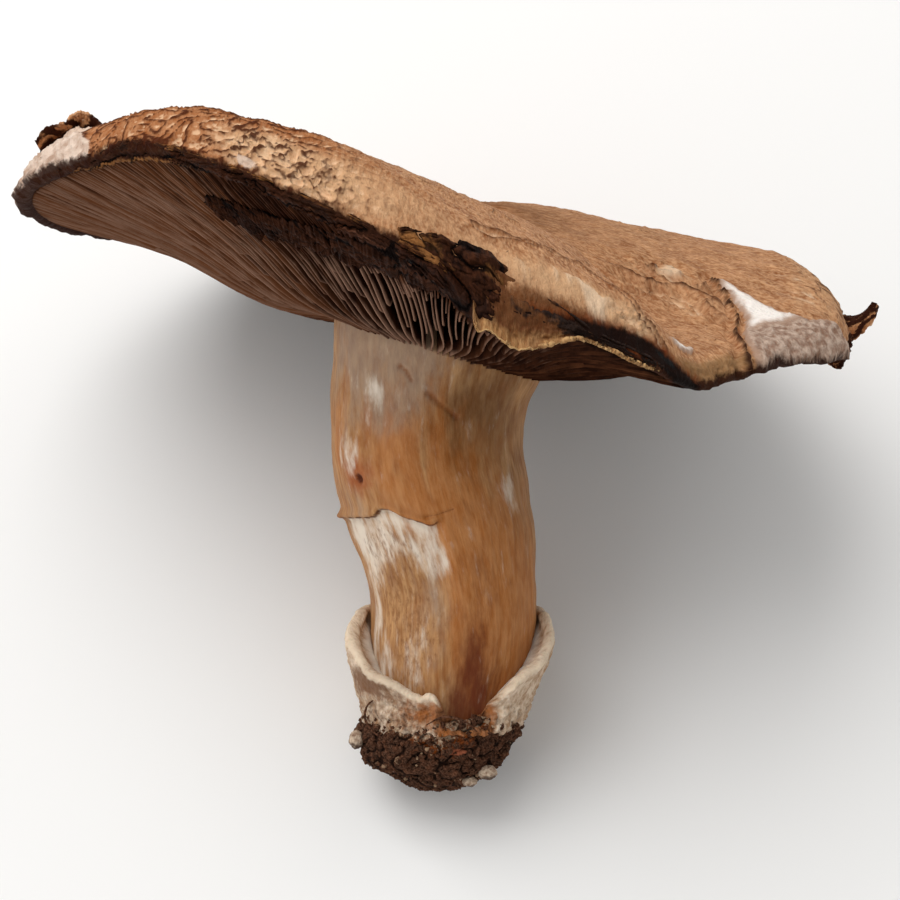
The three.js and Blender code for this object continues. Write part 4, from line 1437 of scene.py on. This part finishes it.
@dataclass
class RimTips:
    """Curled, dried tips of torn rim at the cap's far left and right."""

    grain: Grain = field(default_factory=lambda: Grain(47))

    def ribbon(self, middle: Array, across: Array, cup: float, rough: float, shift: float) -> Surface:
        """A dished ribbon of skin.

        Args:
            middle: (stations, 3) of its centre line.
            across: (stations, 3), half its width as a vector.
            cup: how deeply it is dished, in mm.
            rough: height of its wrinkles, in mm.
            shift: where it reads the grain, so that no two are alike.

        Returns:
            A thin closed sheet, with painted shade in its wrinkles.
        """
        t, v = np.linspace(0, 1, 90), np.linspace(-1, 1, 40)
        line, width = smooth_line(middle, t), smooth_line(across, t)
        along, over = t[:, None], v[None, :]
        ragged = 1 + 0.2 * self.grain.rough(along * 12, 0 * over, shift + 2) + 0.1 * self.grain.at(along * 40, 0 * over)
        front = line[:, None] + width[:, None] * (over * ragged)[..., None]
        normal = unit_length(np.cross(width, np.gradient(line, axis=0)))
        folds = self.grain.folds(along * 3.2 + 0.6 * over, over * 1.3, shift, octaves=2)
        lift = cup * (over**2 - 0.4) + rough * (folds - 0.4) + 0.15 * self.grain.rough(along * 12, over * 4, shift)
        front = front + normal[:, None] * lift[..., None]
        off = np.full_like(lift, -9.0)
        values = {
            "flow": np.stack([3 * over + 0 * lift, 0 * lift, 10 * along + 0 * lift], -1),
            "flat": front,
            # Painted shade in the creases and along one side of the ribbon; painted highlight on its crests and edges.
            "crease_shade": ease(folds, 0.42, 0.1),
            "crest_highlight": 0.5 * ease(folds, 0.7, 0.95) + 0.4 * ease(np.abs(over), 0.85, 1.0),
            "crust_and_shade": 1.5 * ease(folds, 0.6, 0.25) + 0.9 * ease(over + 0.5 * folds, -0.1, 0.9) - 0.1,
        }
        named = {"char": off, "tear": off, "raw": off, "crack": off, "soot": off, "flesh": off, "rust": off + 9.4}
        return thin_sheet(front, 0.5, values | named)

    def left(self) -> Surface:
        """A strip peeled up at the left, arching over and hanging down at its free end.

        Returns:
            The strip and the pale stub under it.
        """
        middle = [(-57.2, -20, 110.2), (-59.8, -18, 112.6), (-62.0, -18, 113.7), (-63.6, -18, 112.9)]
        middle += [(-65.4, -18.5, 112.4), (-67.4, -18.5, 111.9), (-68.8, -18.5, 109.8)]
        across = [(-0.4, 3.6, -2.0), (-0.4, 3.8, -2.2), (-0.2, 3.6, -1.8), (0, 3.2, -1.4)]
        across += [(0, 2.6, -1.0), (0, 2.0, -1.2), (0.2, 1.2, -1.4)]
        strip = self.ribbon(np.array(middle, float), np.array(across, float), 0.7, 0.5, 1.0)
        under = [(-56.0, -24, 106.6), (-59.5, -24.5, 109.2), (-62.5, -22, 110.6), (-64.0, -20, 111.2)]
        wide = [(-1.4, 0.2, -2.4), (-1.2, 0.2, -2.8), (-0.6, 0.2, -2.4), (-0.2, 0.2, -1.2)]
        stub = self.ribbon(np.array(under, float), np.array(wide, float), 0.9, 0.5, 5.0)
        n = len(stub.points)
        # The stub is pale flesh: no painted shade along its side, and half the painted shade in its creases.
        pale = {"flesh": np.full(n, 2.0), "crust_and_shade": np.full(n, -9.0), "crease_shade": 0.5 * stub.values["crease_shade"]}
        stub.values.update(pale)
        return strip + stub

    def right(self) -> Surface:
        """What is left of the rim at the right.

        Returns:
            A horn that curls up, and a broad pointed tag under it.
        """
        horn = [(65.0, -1.5, 80.6), (68.4, -1.5, 80.6), (71.2, -1, 81.6), (73.2, -0.5, 83.2), (74.4, 0, 85.0)]
        wide = [(0.2, 1.4, 3.4), (0.3, 1.3, 2.6), (-0.5, 0.8, 1.3), (-0.5, 0.4, 0.5), (-0.1, 0.1, 0.1)]
        tag = [(64.8, -5.5, 79.6), (65.6, -6, 77.6), (66.6, -6, 75.6), (67.3, -5.5, 73.9)]
        narrow = [(4.4, 1.2, 0.6), (3.8, 0.9, 0.6), (2.0, 0.5, 0.4), (0.2, 0.1, 0.1)]
        first = self.ribbon(np.array(horn, float), np.array(wide, float), 1.1, 0.4, 12.0)
        return first + self.ribbon(np.array(tag, float), np.array(narrow, float), 0.7, 0.45, 15.0)


# ---------------------------------------------------------------- the stem and its foot
# Height, axis X, half width and half depth of the stem, in mm.
STEM_SECTIONS = np.array(
    [
        [4.2, -2.0, 5.6, 5.6],
        [6.5, -1.9, 9.4, 9.0],
        [10.0, -1.5, 11.2, 10.8],
        [14.0, -0.9, 12.4, 12.0],
        [18.0, -0.5, 13.4, 13.0],
        [26.0, 0.2, 14.4, 14.0],
        [34.0, 0.5, 14.5, 14.0],
        [40.0, -0.2, 15.1, 14.5],
        [46.0, -1.5, 16.2, 15.5],
        [53.0, -3.2, 16.9, 16.0],
        [60.0, -4.0, 16.8, 16.0],
        [66.0, -3.3, 17.2, 16.6],
        [70.0, -2.0, 18.0, 18.0],
    ]
)


# Patches of each colour on the stem: how strong a group is, then for each of its patches the direction in degrees,
# the height in mm, and the half sizes in degrees and mm.
STEM_PATCHES: dict[str, tuple[tuple[float, tuple[Spot, ...]], ...]] = {
    "grey": (
        (1.1, ((236, 74, 34, 9), (226, 81, 26, 6), (246, 66, 12, 5))),
        (0.5, ((262, 73, 16, 7), (215, 46, 20, 10))),
        (0.55, ((258, 34, 14, 10),)),
    ),
    "murky": ((1.0, ((305, 67, 28, 11), (285, 62, 12, 6))),),
    "rust": (
        (1.0, ((250, 59, 22, 8), (262, 51, 16, 6), (302, 42, 34, 19), (315, 24, 30, 12), (285, 34, 14, 14))),
        (0.8, ((205, 62, 12, 10), (330, 30, 18, 14), (277, 56, 3.5, 16))),
    ),
    "clean": ((0.8, ((268, 55, 2.5, 9), (322, 44, 4, 12))),),
    "deep": ((1.2, ((289, 16, 20, 7),)), (0.6, ((284, 26, 9, 8),)), (0.2, ((292, 38, 9, 12),))),
    "white": (
        (0.6, ((216, 58.8, 12, 4.2), (210, 22, 24, 5), (206, 33, 8, 10))),
        (0.7, ((321, 52.8, 6.5, 3.8),)),
        (0.5, ((238, 69, 9, 4), (246, 24, 9, 7))),
    ),
    "speckle": ((0.36, ((224, 36, 24, 9), (246, 27, 20, 9), (230, 43, 24, 3))),),
    "halo": ((1.0, ((223, 55.4, 13, 3.6),)),),
}

# Swellings and dents of the stem: mm outwards, then as above.
STEM_DENTS: tuple[tuple[float, Spot], ...] = (
    (0.9, (188, 48.4, 8, 0.8)),
    (0.4, (224, 55.6, 9, 1.8)),
    (-1.0, (224, 54.6, 3.0, 0.9)),
    (-0.6, (222, 56.8, 1.4, 0.9)),
    (0.5, (218, 60.0, 12, 3.0)),
    (-0.5, (243, 61, 8, 6)),
)

# Marks on the stem's near side: X and height in mm.
STEM_SCRATCHES = [(-8.4, 73.6), (-7.4, 72.6), (-6.6, 71.2)], [(-3.9, 69.2), (-1.6, 67.2), (1.2, 65.0)]
STEM_SLIT = [(-4.0, 48.2), (-1.5, 48.8), (0.6, 49.5)]


def stem_section(z: Array) -> list[Array]:
    """The stem's axis X, half width and half depth at a height."""
    return read_table(STEM_SECTIONS, z)


@dataclass
class Stem:
    """Solid stem of pulled fibres, its outer layer stripped below a torn step."""

    form: CapForm
    rows: int = 300
    columns: int = 300
    foot: float = 4.2
    grain: Grain = field(default_factory=lambda: Grain(59))

    def build(self) -> Surface:
        """Rings up the stem's axis, stretched at the top to meet the gills, with fibre relief.

        Returns:
            Ellipses at rising heights, moved along their normals by the relief.
        """
        grain = self.grain
        angle = near_side(self.columns)[None, :]
        level = np.concatenate([np.linspace(self.foot, 70.0, self.rows), [70.5, 71.0, 71.5, 72.0]])[:, None]
        axis, width, depth = stem_section(level)
        top = self.form.column(Column.JOIN, angle) + 0.6
        z = np.where(level < 62, level, 62 + (np.minimum(level, 70) - 62) / 8 * (top - 62))
        z = z + 3.4 * np.maximum(level - 70, 0)
        x, y = axis + width * np.cos(angle), depth * np.sin(angle) + 0 * z
        points = np.stack([x, y, z], -1)
        bearing = angle + 0.004 * (z - 40) + 0.03 * grain.at(angle * 2, z / 14, 2.0)
        lap = bearing / (2 * np.pi)

        # The torn step: its line rises to a peak on the left, and a thin dark lip runs on to the right.
        across = turn_from(angle, 230)
        line = 48.0 + 1.6 * bump(across, 8, 9) - 0.9 * bump(across, 32, 9) + 0.7 * grain.rough(lap * 26, 0 * z, 1.0, 26)
        torn = ease(across, -46, -38) * ease(across, 44, 36)
        below = line - z
        relief = 0.10 * grain.rough(lap * 40, z / 14, 3.0, 40) + 0.06 * grain.rough(lap * 150, z / 12, 4.0, 150)
        relief += 0.55 * grain.at(lap * 5, z / 12, 6.0, 5) + 0.22 * grain.rough(lap * 14, z / 7, 8.0, 14)
        relief += torn * (0.55 * bump(below, -0.5, 0.7) - 0.8 * ease(below, 0, 0.4) * ease(below, 13, 4))
        for outward, at in STEM_DENTS:
            relief += outward * blob(angle, z, at)
        scratch = np.minimum(*(path_distance(x, z, mark) for mark in STEM_SCRATCHES))
        slit = path_distance(x, z, STEM_SLIT)
        near = np.sin(angle) < 0
        scratch = np.where(near, 0.75 - scratch + 0.35 * grain.rough(x / 1.5, z / 3), -2.0)
        slit = np.where(near, 0.32 - slit, -2.0)
        relief -= 0.3 * ease(scratch, 0, 0.7) + 0.3 * ease(slit, 0, 0.3)
        points = points + grid_normals(points) * (relief * ease(z, 4, 9))[..., None]

        def patch(kind: str) -> Array:
            """All the patches of one colour together, each group held at 1 before its own strength."""
            groups = STEM_PATCHES[kind]
            return sum(strength * unit(sum(blob(angle, z, at) for at in group)) for strength, group in groups)

        stripped = torn * ease(below, -0.2, 0.6) * ease(below, 13.0, 4.0)
        edge_line = torn * bump(below, 0.15, 0.3)
        pit = 1.3 - 1.1 * np.hypot(turn_from(angle, 224) / 3.2, z - 54.6)
        values = {
            "flow": around(16, bearing, z),
            "grey": unit(patch("grey")),
            "murky": patch("murky"),
            "rust": unit(patch("rust") - patch("clean") * (0.5 + grain.rough(lap * 30, z / 9, 7.0, 30))),
            "deep": unit(patch("deep")),
            "white": unit(0.92 * stripped * (0.8 + 0.5 * grain.rough(lap * 16, z / 6, 9.0, 16)) + patch("white")),
            "speckle": 0.30 + patch("speckle"),
            "scratch": scratch,
            "scar": np.maximum(pit, 1.2 * edge_line - 0.4) + 0.8 * ease(slit, 0, 0.3),
            "halo": patch("halo"),
        }
        return closed_grid(points, values)


@dataclass
class Sheath:
    """Torn collar at the foot: a thin cup with a rolled lip, high on the left and behind, broken in front."""

    wall: float = 1.2
    foot: float = 10.5
    columns: int = 460
    grain: Grain = field(default_factory=lambda: Grain(67))
    profile: tuple[tuple[float, float, float], ...] = (
        (10.5, 13.9, -1.2),
        (13, 14.4, -1.0),
        (16, 15.2, -0.8),
        (20, 16.7, -0.6),
        (23, 17.6, -0.2),
        (26, 17.9, 0.1),
        (29, 17.0, 0.2),
        (32.5, 15.0, 0.4),
    )
    lip: tuple[tuple[float, float], ...] = (
        (0, 31),
        (45, 32),
        (90, 32.4),
        (135, 32),
        (180, 31.2),
        (192, 29.3),
        (200, 27),
        (210, 24.2),
        (223, 21.8),
        (237, 20.4),
        (246, 18.7),
        (254, 17.6),
        (262, 18.0),
        (267, 16.6),
        (273, 14.4),
        (285, 13.2),
        (300, 14.8),
        (308, 17.6),
        (316, 20.6),
        (327, 22.8),
        (337, 25),
        (346, 27.8),
    )

    def build(self) -> Surface:
        """Rings up the outside, over the round lip and down the inside, which slopes in to the stem.

        Returns:
            The collar, its last ring joined to its first.
        """
        grain = self.grain
        angle = near_side(self.columns)[None, :]
        lap = angle / (2 * np.pi)
        broken = sector(angle, 289, (-26, -18), (24, 14))
        lip = round_rail(np.array(self.lip), 1, angle) - 0.5 + 0.6 * grain.rough(lap * 34, 0 * lap, 1.0, 34)
        lip = lip + 0.8 * grain.rough(lap * 9, 0 * lap, 3.0, 9) + 0.9 * broken * grain.rough(lap * 60, 0 * lap, 4.0, 60)
        outside, over = np.linspace(0, 1, 54)[:, None], np.linspace(0, np.pi, 13)[1:-1, None]
        inward = np.linspace(1, 0, 40)[:, None]
        t = np.concatenate([outside, np.ones_like(over), inward])
        foot = self.foot + 1.7 * grain.rough(lap * 12, 0 * lap, 9.0, 12) + 0.5 * grain.rough(lap * 70, 0 * lap, 2.0, 70)
        z = foot + (lip - foot) * t
        outer, axis = read_table(self.profile, z)
        stem_axis, stem_width, stem_depth = stem_section(z)
        reach = np.hypot(stem_width * np.cos(angle), stem_depth * np.sin(angle)) + (stem_axis - axis) * np.cos(angle)
        outer = outer + (reach + 0.5 - outer) * broken * ease(t, 0.1, 0.9)
        inner = np.maximum(outer - self.wall, reach - 0.4)
        floor = ease(t, 1.0, 0.84)
        inner = inner + (reach - 0.35 - inner) * floor
        side = np.concatenate([np.zeros_like(outside), (1 - np.cos(over)) / 2, np.ones_like(inward)])
        rise = np.concatenate([0 * outside, np.sin(over), 0 * inward]) * 0.8 * (1 - 0.8 * broken)
        curl = 0.9 * (1 - broken) * (1 + 0.8 * grain.at(lap * 16, 0 * t, 2.0, 16))
        swell = curl * ease(t, 0.70, 1.0) * (1 - side)
        radius = outer + swell - side * (outer - inner)
        rough = 0.45 * grain.rough(lap * 20, z / 4.5, 2.0, 20) + 0.22 * grain.rough(lap * 70, z / 1.6, 3.0, 70)
        pits = grain.folds(lap * 40, z / 2.2, 5.0, 40, 3) - 0.5
        low = ease(z, 19, 14)
        radius = radius + (rough + (0.25 + 0.6 * low) * pits) * (1 - 0.6 * side)
        radius = radius - 1.5 * ease(t, 0.12, 0.0) * (1 - side)
        points = np.stack([axis + radius * np.cos(angle), radius * np.sin(angle), z + rise], -1)
        left = sector(angle, 215, (-60, -20), (50, 25))
        speckled = ease(z + 2.0 * grain.rough(lap * 20, z / 4, 6.0, 20), 19.5, 14.5)
        values = {
            "flow": around(16, angle, z + 3 * side),
            "inside": side * ease(t, 1.0, 0.85) * (1 - broken),
            "smear": unit(0.85 * blob(angle, z, (216, 20.0, 22, 2.4)) + 0.35 * left * ease(z, 25, 20)) * (1 - side),
            "mottle": unit(0.42 * speckled + 0.22 * broken + 0.10 * left * ease(z, 24, 18)),
            "ochre": unit(blob(angle, z, (266, 14.5, 32, 3.6)) + broken * ease(z, 18, 14)),
            "lip": bump(t, 1.0, 0.08) * (1 - 0.5 * side) * (1 - broken),
            "speck": 0.45 + 0 * z,
        }
        return closed_grid(points, values, False)


def lump_shape(rings: int, sides: int) -> tuple[Array, Surface]:
    """Directions over a small ball, and the ball itself.

    Args:
        rings: number of rings between its poles.
        sides: number of points round each.

    Returns:
        (rings, sides, 3) unit vectors, and the surface that they make.
    """
    tilt = np.linspace(-np.pi / 2, np.pi / 2, rings + 2)[1:-1, None]
    turn = 2 * np.pi * np.arange(sides)[None, :] / sides
    way = np.stack(np.broadcast_arrays(np.cos(tilt) * np.cos(turn), np.cos(tilt) * np.sin(turn), np.sin(tilt)), -1)
    return way, closed_grid(way, {})


@dataclass
class Soil:
    """Casing soil caught on the foot: a lumpy clod, with loose crumbs stuck all over it."""

    crumbs: int = 900
    columns: int = 460
    grain: Grain = field(default_factory=lambda: Grain(71))
    profile: tuple[tuple[float, float, float], ...] = (
        (0.5, 2.6, -2.4),
        (1.0, 4.6, -2.3),
        (2.6, 8.2, -1.9),
        (4.4, 11.2, -2.6),
        (7.3, 13.0, -2.4),
        (9.8, 14.0, -2.1),
        (12.4, 14.1, -1.2),
        (14.5, 13.8, -0.9),
    )

    def clod(self) -> Surface:
        """Rings from under the foot up to the collar, pushed in and out by coarse and fine relief.

        Returns:
            The clod without its loose crumbs.
        """
        grain = self.grain
        angle = near_side(self.columns)[None, :]
        lap = angle / (2 * np.pi)
        t = np.linspace(0, 1, 180)[:, None]
        z = rail([0, 0.14, 0.8, 1.0], [0.5, 1.2, 12.8, 14.5], t) + 0 * angle
        radius, axis = read_table(self.profile, z)
        x, y = radius * np.cos(angle), radius * np.sin(angle)
        lumps = grain.rough(x / 4.6, y / 4.6, z / 3.8, octaves=5)
        pits = grain.folds(x / 3.2, y / 3.2, z / 2.6, octaves=4) - 0.5
        fringe = 12.0 - 3.8 * bump(turn_from(angle, 266), 0, 26) + 1.2 * ease(turn_from(angle, 215), 30, 0)
        pale = ease(z + 1.9 * grain.rough(lap * 20, z / 4, 2.0, 20), fringe - 0.8, fringe + 1.6)
        pale = pale * sector(angle, 275, (-95, -75), (95, 75))
        low = ease(z, 0.3, 2.5)
        radius = radius + (1.0 * lumps + (1.3 - 0.5 * pale) * pits) * low
        radius = radius - 2.2 * ease(t, 0.95, 1.0)
        notches = unit(0.5 + grain.rough(lap * 12, 0 * z, 7.7, 12))
        z = z + 0.6 * grain.rough(x / 3, y / 3, z / 3 + 9) * low - 1.6 * notches * ease(t, 0.7, 1)
        points = np.stack([axis + radius * np.cos(angle), 0.96 * radius * np.sin(angle), z], -1)
        values = {
            "flow": points,
            "mottle": 0.72 * pale,
            "amber": unit(0.95 * blob(angle, z, (272, 11.8, 26, 4.2)) + 0.3 * pale),
            "thread": 0.3 + 0.42 * pale,
            "chip": 1.0 - np.hypot((x + axis - 1.0) / 1.7, (z - 8.1) / 0.7) + 0.3 * grain.at(x, z) - 3.0 * (y > 0),
            # Painted shade in the pits.
            "pit_shade": ease(pits, 0.0, -0.4),
        }
        return closed_grid(points, values)

    def build(self) -> Surface:
        """Adds the crumbs: each a small ball, squashed, turned and sunk into the clod's surface.

        Returns:
            The clod with its crumbs.
        """
        clod = self.clod()
        rng = np.random.default_rng(9)
        seats = clod.points[rng.choice(len(clod.points) - 2, self.crumbs, replace=False)]
        _, ball = lump_shape(3, 6)
        turns = np.linalg.qr(rng.normal(size=(self.crumbs, 3, 3)))[0]
        turns *= np.sign(np.linalg.det(turns))[:, None, None]
        sizes = (0.22 + 0.5 * rng.uniform(0, 1, (self.crumbs, 1)) ** 2) * rng.uniform(0.6, 1.25, (self.crumbs, 3))
        shape = ball.points[None] * (1 + rng.uniform(-0.25, 0.25, (self.crumbs, len(ball.points), 1)))
        crumbs = np.einsum("nij,npj->npi", turns, shape * sizes[:, None]) + seats[:, None]
        offset = len(ball.points) * np.arange(self.crumbs)[:, None, None]
        pale = np.repeat(rng.uniform(0, 1, self.crumbs) ** 7, len(ball.points))
        values = {"flow": crumbs.reshape(-1, 3), "mottle": 0.9 * pale}
        values |= {"thread": np.full_like(pale, 0.3), "chip": np.full_like(pale, -3.0)}
        loose = Surface(
            crumbs.reshape(-1, 3),
            (ball.quads[None] + offset).reshape(-1, 4),
            (ball.tris[None] + offset).reshape(-1, 3),
            values,
        )
        return clod + loose


@dataclass
class ChalkLump:
    """One crumb of chalk pressed into the soil: a bumpy ball, larger one way than the other."""

    centre: tuple[float, float, float]
    half: tuple[float, float, float]
    grain: Grain = field(default_factory=lambda: Grain(83))

    def build(self) -> Surface:
        """A ball scaled to its half sizes and pushed in and out by relief."""
        way, _ = lump_shape(30, 44)
        middle = np.array(self.centre)
        bumps = 1 + 0.22 * self.grain.rough(*(way[..., k] * 1.6 + middle[k] for k in range(3)))
        points = middle + way * np.array(self.half) * bumps[..., None]
        return closed_grid(points, {"flow": points, "dirt": 0.3 + 0.5 * ease(points[..., 2], middle[2], middle[2] - 1)})


@dataclass
class RootThreads:
    """Fine dark root fibres that cross the foot: one on its left side, one under the collar's broken front."""

    radius: float = 0.22
    # A direction that neither root runs along, which each tube's rings are turned by.
    upward: tuple[float, float, float] = (0.3, 0.2, 0.93)
    paths: tuple[tuple[tuple[float, float, float], ...], ...] = (
        ((-12.6, -9.0, 17.0), (-14.2, -8.2, 15.6), (-14.6, -7.9, 13.4), (-13.4, -8.6, 11.4), (-11.2, -10.3, 10.0)),
        ((-4.0, -14.6, 13.0), (-1.0, -15.0, 14.4), (2.5, -14.8, 13.6), (4.6, -14.4, 11.8)),
    )

    def build(self) -> Surface:
        """A round tube along each path, on a frame of its tangent and the direction away from the axis."""
        tubes = [self.tube(np.array(path)) for path in self.paths]
        return sum(tubes[1:], tubes[0])

    def tube(self, path: Array) -> Surface:
        """Rings of a small radius round a smooth path, thinning towards both ends.

        Args:
            path: (corners, 3) of the path, in mm.

        Returns:
            A closed tube.
        """
        t = np.linspace(0, 1, 60)
        line = smooth_line(path, t)
        tangent = unit_length(np.gradient(line, axis=0))
        outward = unit_length(np.cross(tangent, self.upward))
        beside = np.cross(tangent, outward)
        turn = 2 * np.pi * np.arange(8) / 8
        radius = self.radius * (0.4 + 0.6 * np.sin(np.pi * t))[:, None, None]
        ring = outward[:, None] * np.cos(turn)[None, :, None] + beside[:, None] * np.sin(turn)[None, :, None]
        points = line[:, None] + radius * ring
        return closed_grid(points, {"flow": points})


# ---------------------------------------------------------------- the studio
@dataclass
class Studio:
    """A pale table, soft lights and the camera, which looks down on the mushroom square to its upright side."""

    eye: tuple[float, float, float] = (0.0, -437.5, 59.5)
    lens: float = 100.0
    floor_half: float = 3.0
    floor_colour: str = "#f4f3f1"
    surround: float = 0.5
    lamp_distance: float = 1.2
    # Name, upright direction from the mushroom, side in metres and power in watts.
    lamps: tuple[tuple[str, tuple[float, float, float], float, float], ...] = (
        ("key_softbox", (-0.35, -0.62, 0.72), 1.0, 10.0),
        ("fill_softbox", (-0.9, -0.8, 0.1), 1.0, 3.0),
        ("back_softbox", (0.7, 0.3, 0.65), 0.8, 2.5),
    )

    def floor(self) -> None:
        """A matt laminate table top at Z = 0."""
        h = self.floor_half
        mesh = bpy.data.meshes.new("table_top")
        mesh.from_pydata([(-h, -h, 0), (h, -h, 0), (h, h, 0), (-h, h, 0)], [], [(0, 1, 2, 3)])
        material = bpy.data.materials.new("table_top_matt_laminate")
        material.use_nodes = True
        shader = material.node_tree.nodes["Principled BSDF"]
        shader.inputs["Base Color"].default_value = linear(self.floor_colour)
        shader.inputs["Roughness"].default_value = 0.9
        shader.inputs["Specular IOR Level"].default_value = 0.1
        mesh.materials.append(material)
        top = bpy.data.objects.new("table_top", mesh)
        bpy.context.scene.collection.objects.link(top)

    def camera(self) -> None:
        """The camera: its axes are the upright X, Z and -Y, turned as the mushroom is."""
        data = bpy.data.cameras.new("camera")
        data.lens, data.sensor_width = self.lens, 36.0
        data.clip_start, data.clip_end = 0.01, 20.0
        camera = bpy.data.objects.new("camera", data)
        axes = REST.turn @ np.array([[1, 0, 0], [0, 0, -1], [0, 1, 0]])
        place = np.eye(4)
        place[:3, :3], place[:3, 3] = axes, REST.place(np.array(self.eye))
        camera.matrix_world = Matrix(place.tolist())
        bpy.context.scene.collection.objects.link(camera)
        bpy.context.scene.camera = camera

    def light(self, name: str, upright_way: tuple[float, float, float], size: float, power: float) -> None:
        """A square area light in an upright direction from the mushroom, turned towards its middle.

        Args:
            name: the light's name.
            upright_way: direction from the mushroom to the light, in upright axes.
            size: its side in metres.
            power: its power in watts.
        """
        data = bpy.data.lights.new(name, "AREA")
        data.size, data.energy = size, power
        lamp = bpy.data.objects.new(name, data)
        way = REST.turn @ (np.array(upright_way) / np.linalg.norm(upright_way))
        middle = REST.place(np.array([0.0, 0.0, 60.0]))
        lamp.matrix_world = Matrix.Translation(middle + self.lamp_distance * way) @ self.towards(way)
        bpy.context.scene.collection.objects.link(lamp)

    @staticmethod
    def towards(way: Array) -> Matrix:
        """A turn whose local Z is a direction, so that a light there shines back along it."""
        side = unit_length(np.cross([0.0, 1.0, 0.3], way))
        return Matrix(np.stack([side, np.cross(way, side), way], -1).tolist()).to_4x4()

    def build(self) -> None:
        """Sets up the floor, the camera, three soft lights and an even pale surround."""
        self.floor()
        self.camera()
        for lamp in self.lamps:
            self.light(*lamp)
        world = bpy.data.worlds.new("surround")
        world.use_nodes = True
        background = world.node_tree.nodes["Background"]
        background.inputs["Color"].default_value = linear("#ffffff")
        background.inputs["Strength"].default_value = self.surround
        bpy.context.scene.world = world
        view = bpy.context.scene.view_settings
        view.view_transform, view.look = "Standard", "None"


def main() -> None:
    """Builds every piece in order, each logging its triangles, then the studio."""
    logging.basicConfig(level=logging.INFO, format="%(name)s: %(message)s")
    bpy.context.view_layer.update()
    form = CapForm()
    veil = Veil(form)
    tips = RimTips()
    make_piece("cap_skin_and_flesh", Cap(form).build(), CAP_SKIN, ("cap",))
    make_piece("rim_curl_left", tips.left(), CAP_SKIN)
    make_piece("rim_horn_right", tips.right(), CAP_SKIN)
    make_piece("gill_blades", Gills(form).build(), GILL_BLADE, ("gills",))
    make_piece("veil_skirt", veil.skirt(), DARK_VEIL, ("veil_strip",))
    make_piece("veil_clot", veil.clot(), DARK_VEIL)
    make_piece("veil_smear", veil.smear(), DARK_VEIL)
    make_piece("veil_flap", veil.flap(), GOLD_VEIL)
    make_piece("stem_fibres", Stem(form).build(), STEM_FLESH, ("stem",))
    make_piece("sheath_collar", Sheath().build(), SHEATH_TISSUE, ("sheath",))
    make_piece("soil_clod", Soil().build(), SOIL, ("casing_soil",))
    make_piece("root_threads", RootThreads().build(), SOIL)
    lumps = {
        "left": ChalkLump((-16.2, -4.0, 9.3), (1.3, 1.6, 1.6)),
        "right": ChalkLump((6.4, -7.2, 4.0), (1.7, 1.5, 1.2)),
        "low": ChalkLump((3.4, -6.8, 2.4), (1.3, 1.3, 0.9)),
    }
    for place, lump in lumps.items():
        make_piece(f"chalk_crumb_{place}", lump.build(), CHALK, (f"chalk_lump_{place}",))
    Studio().build()


if __name__ == "__main__":
    main()
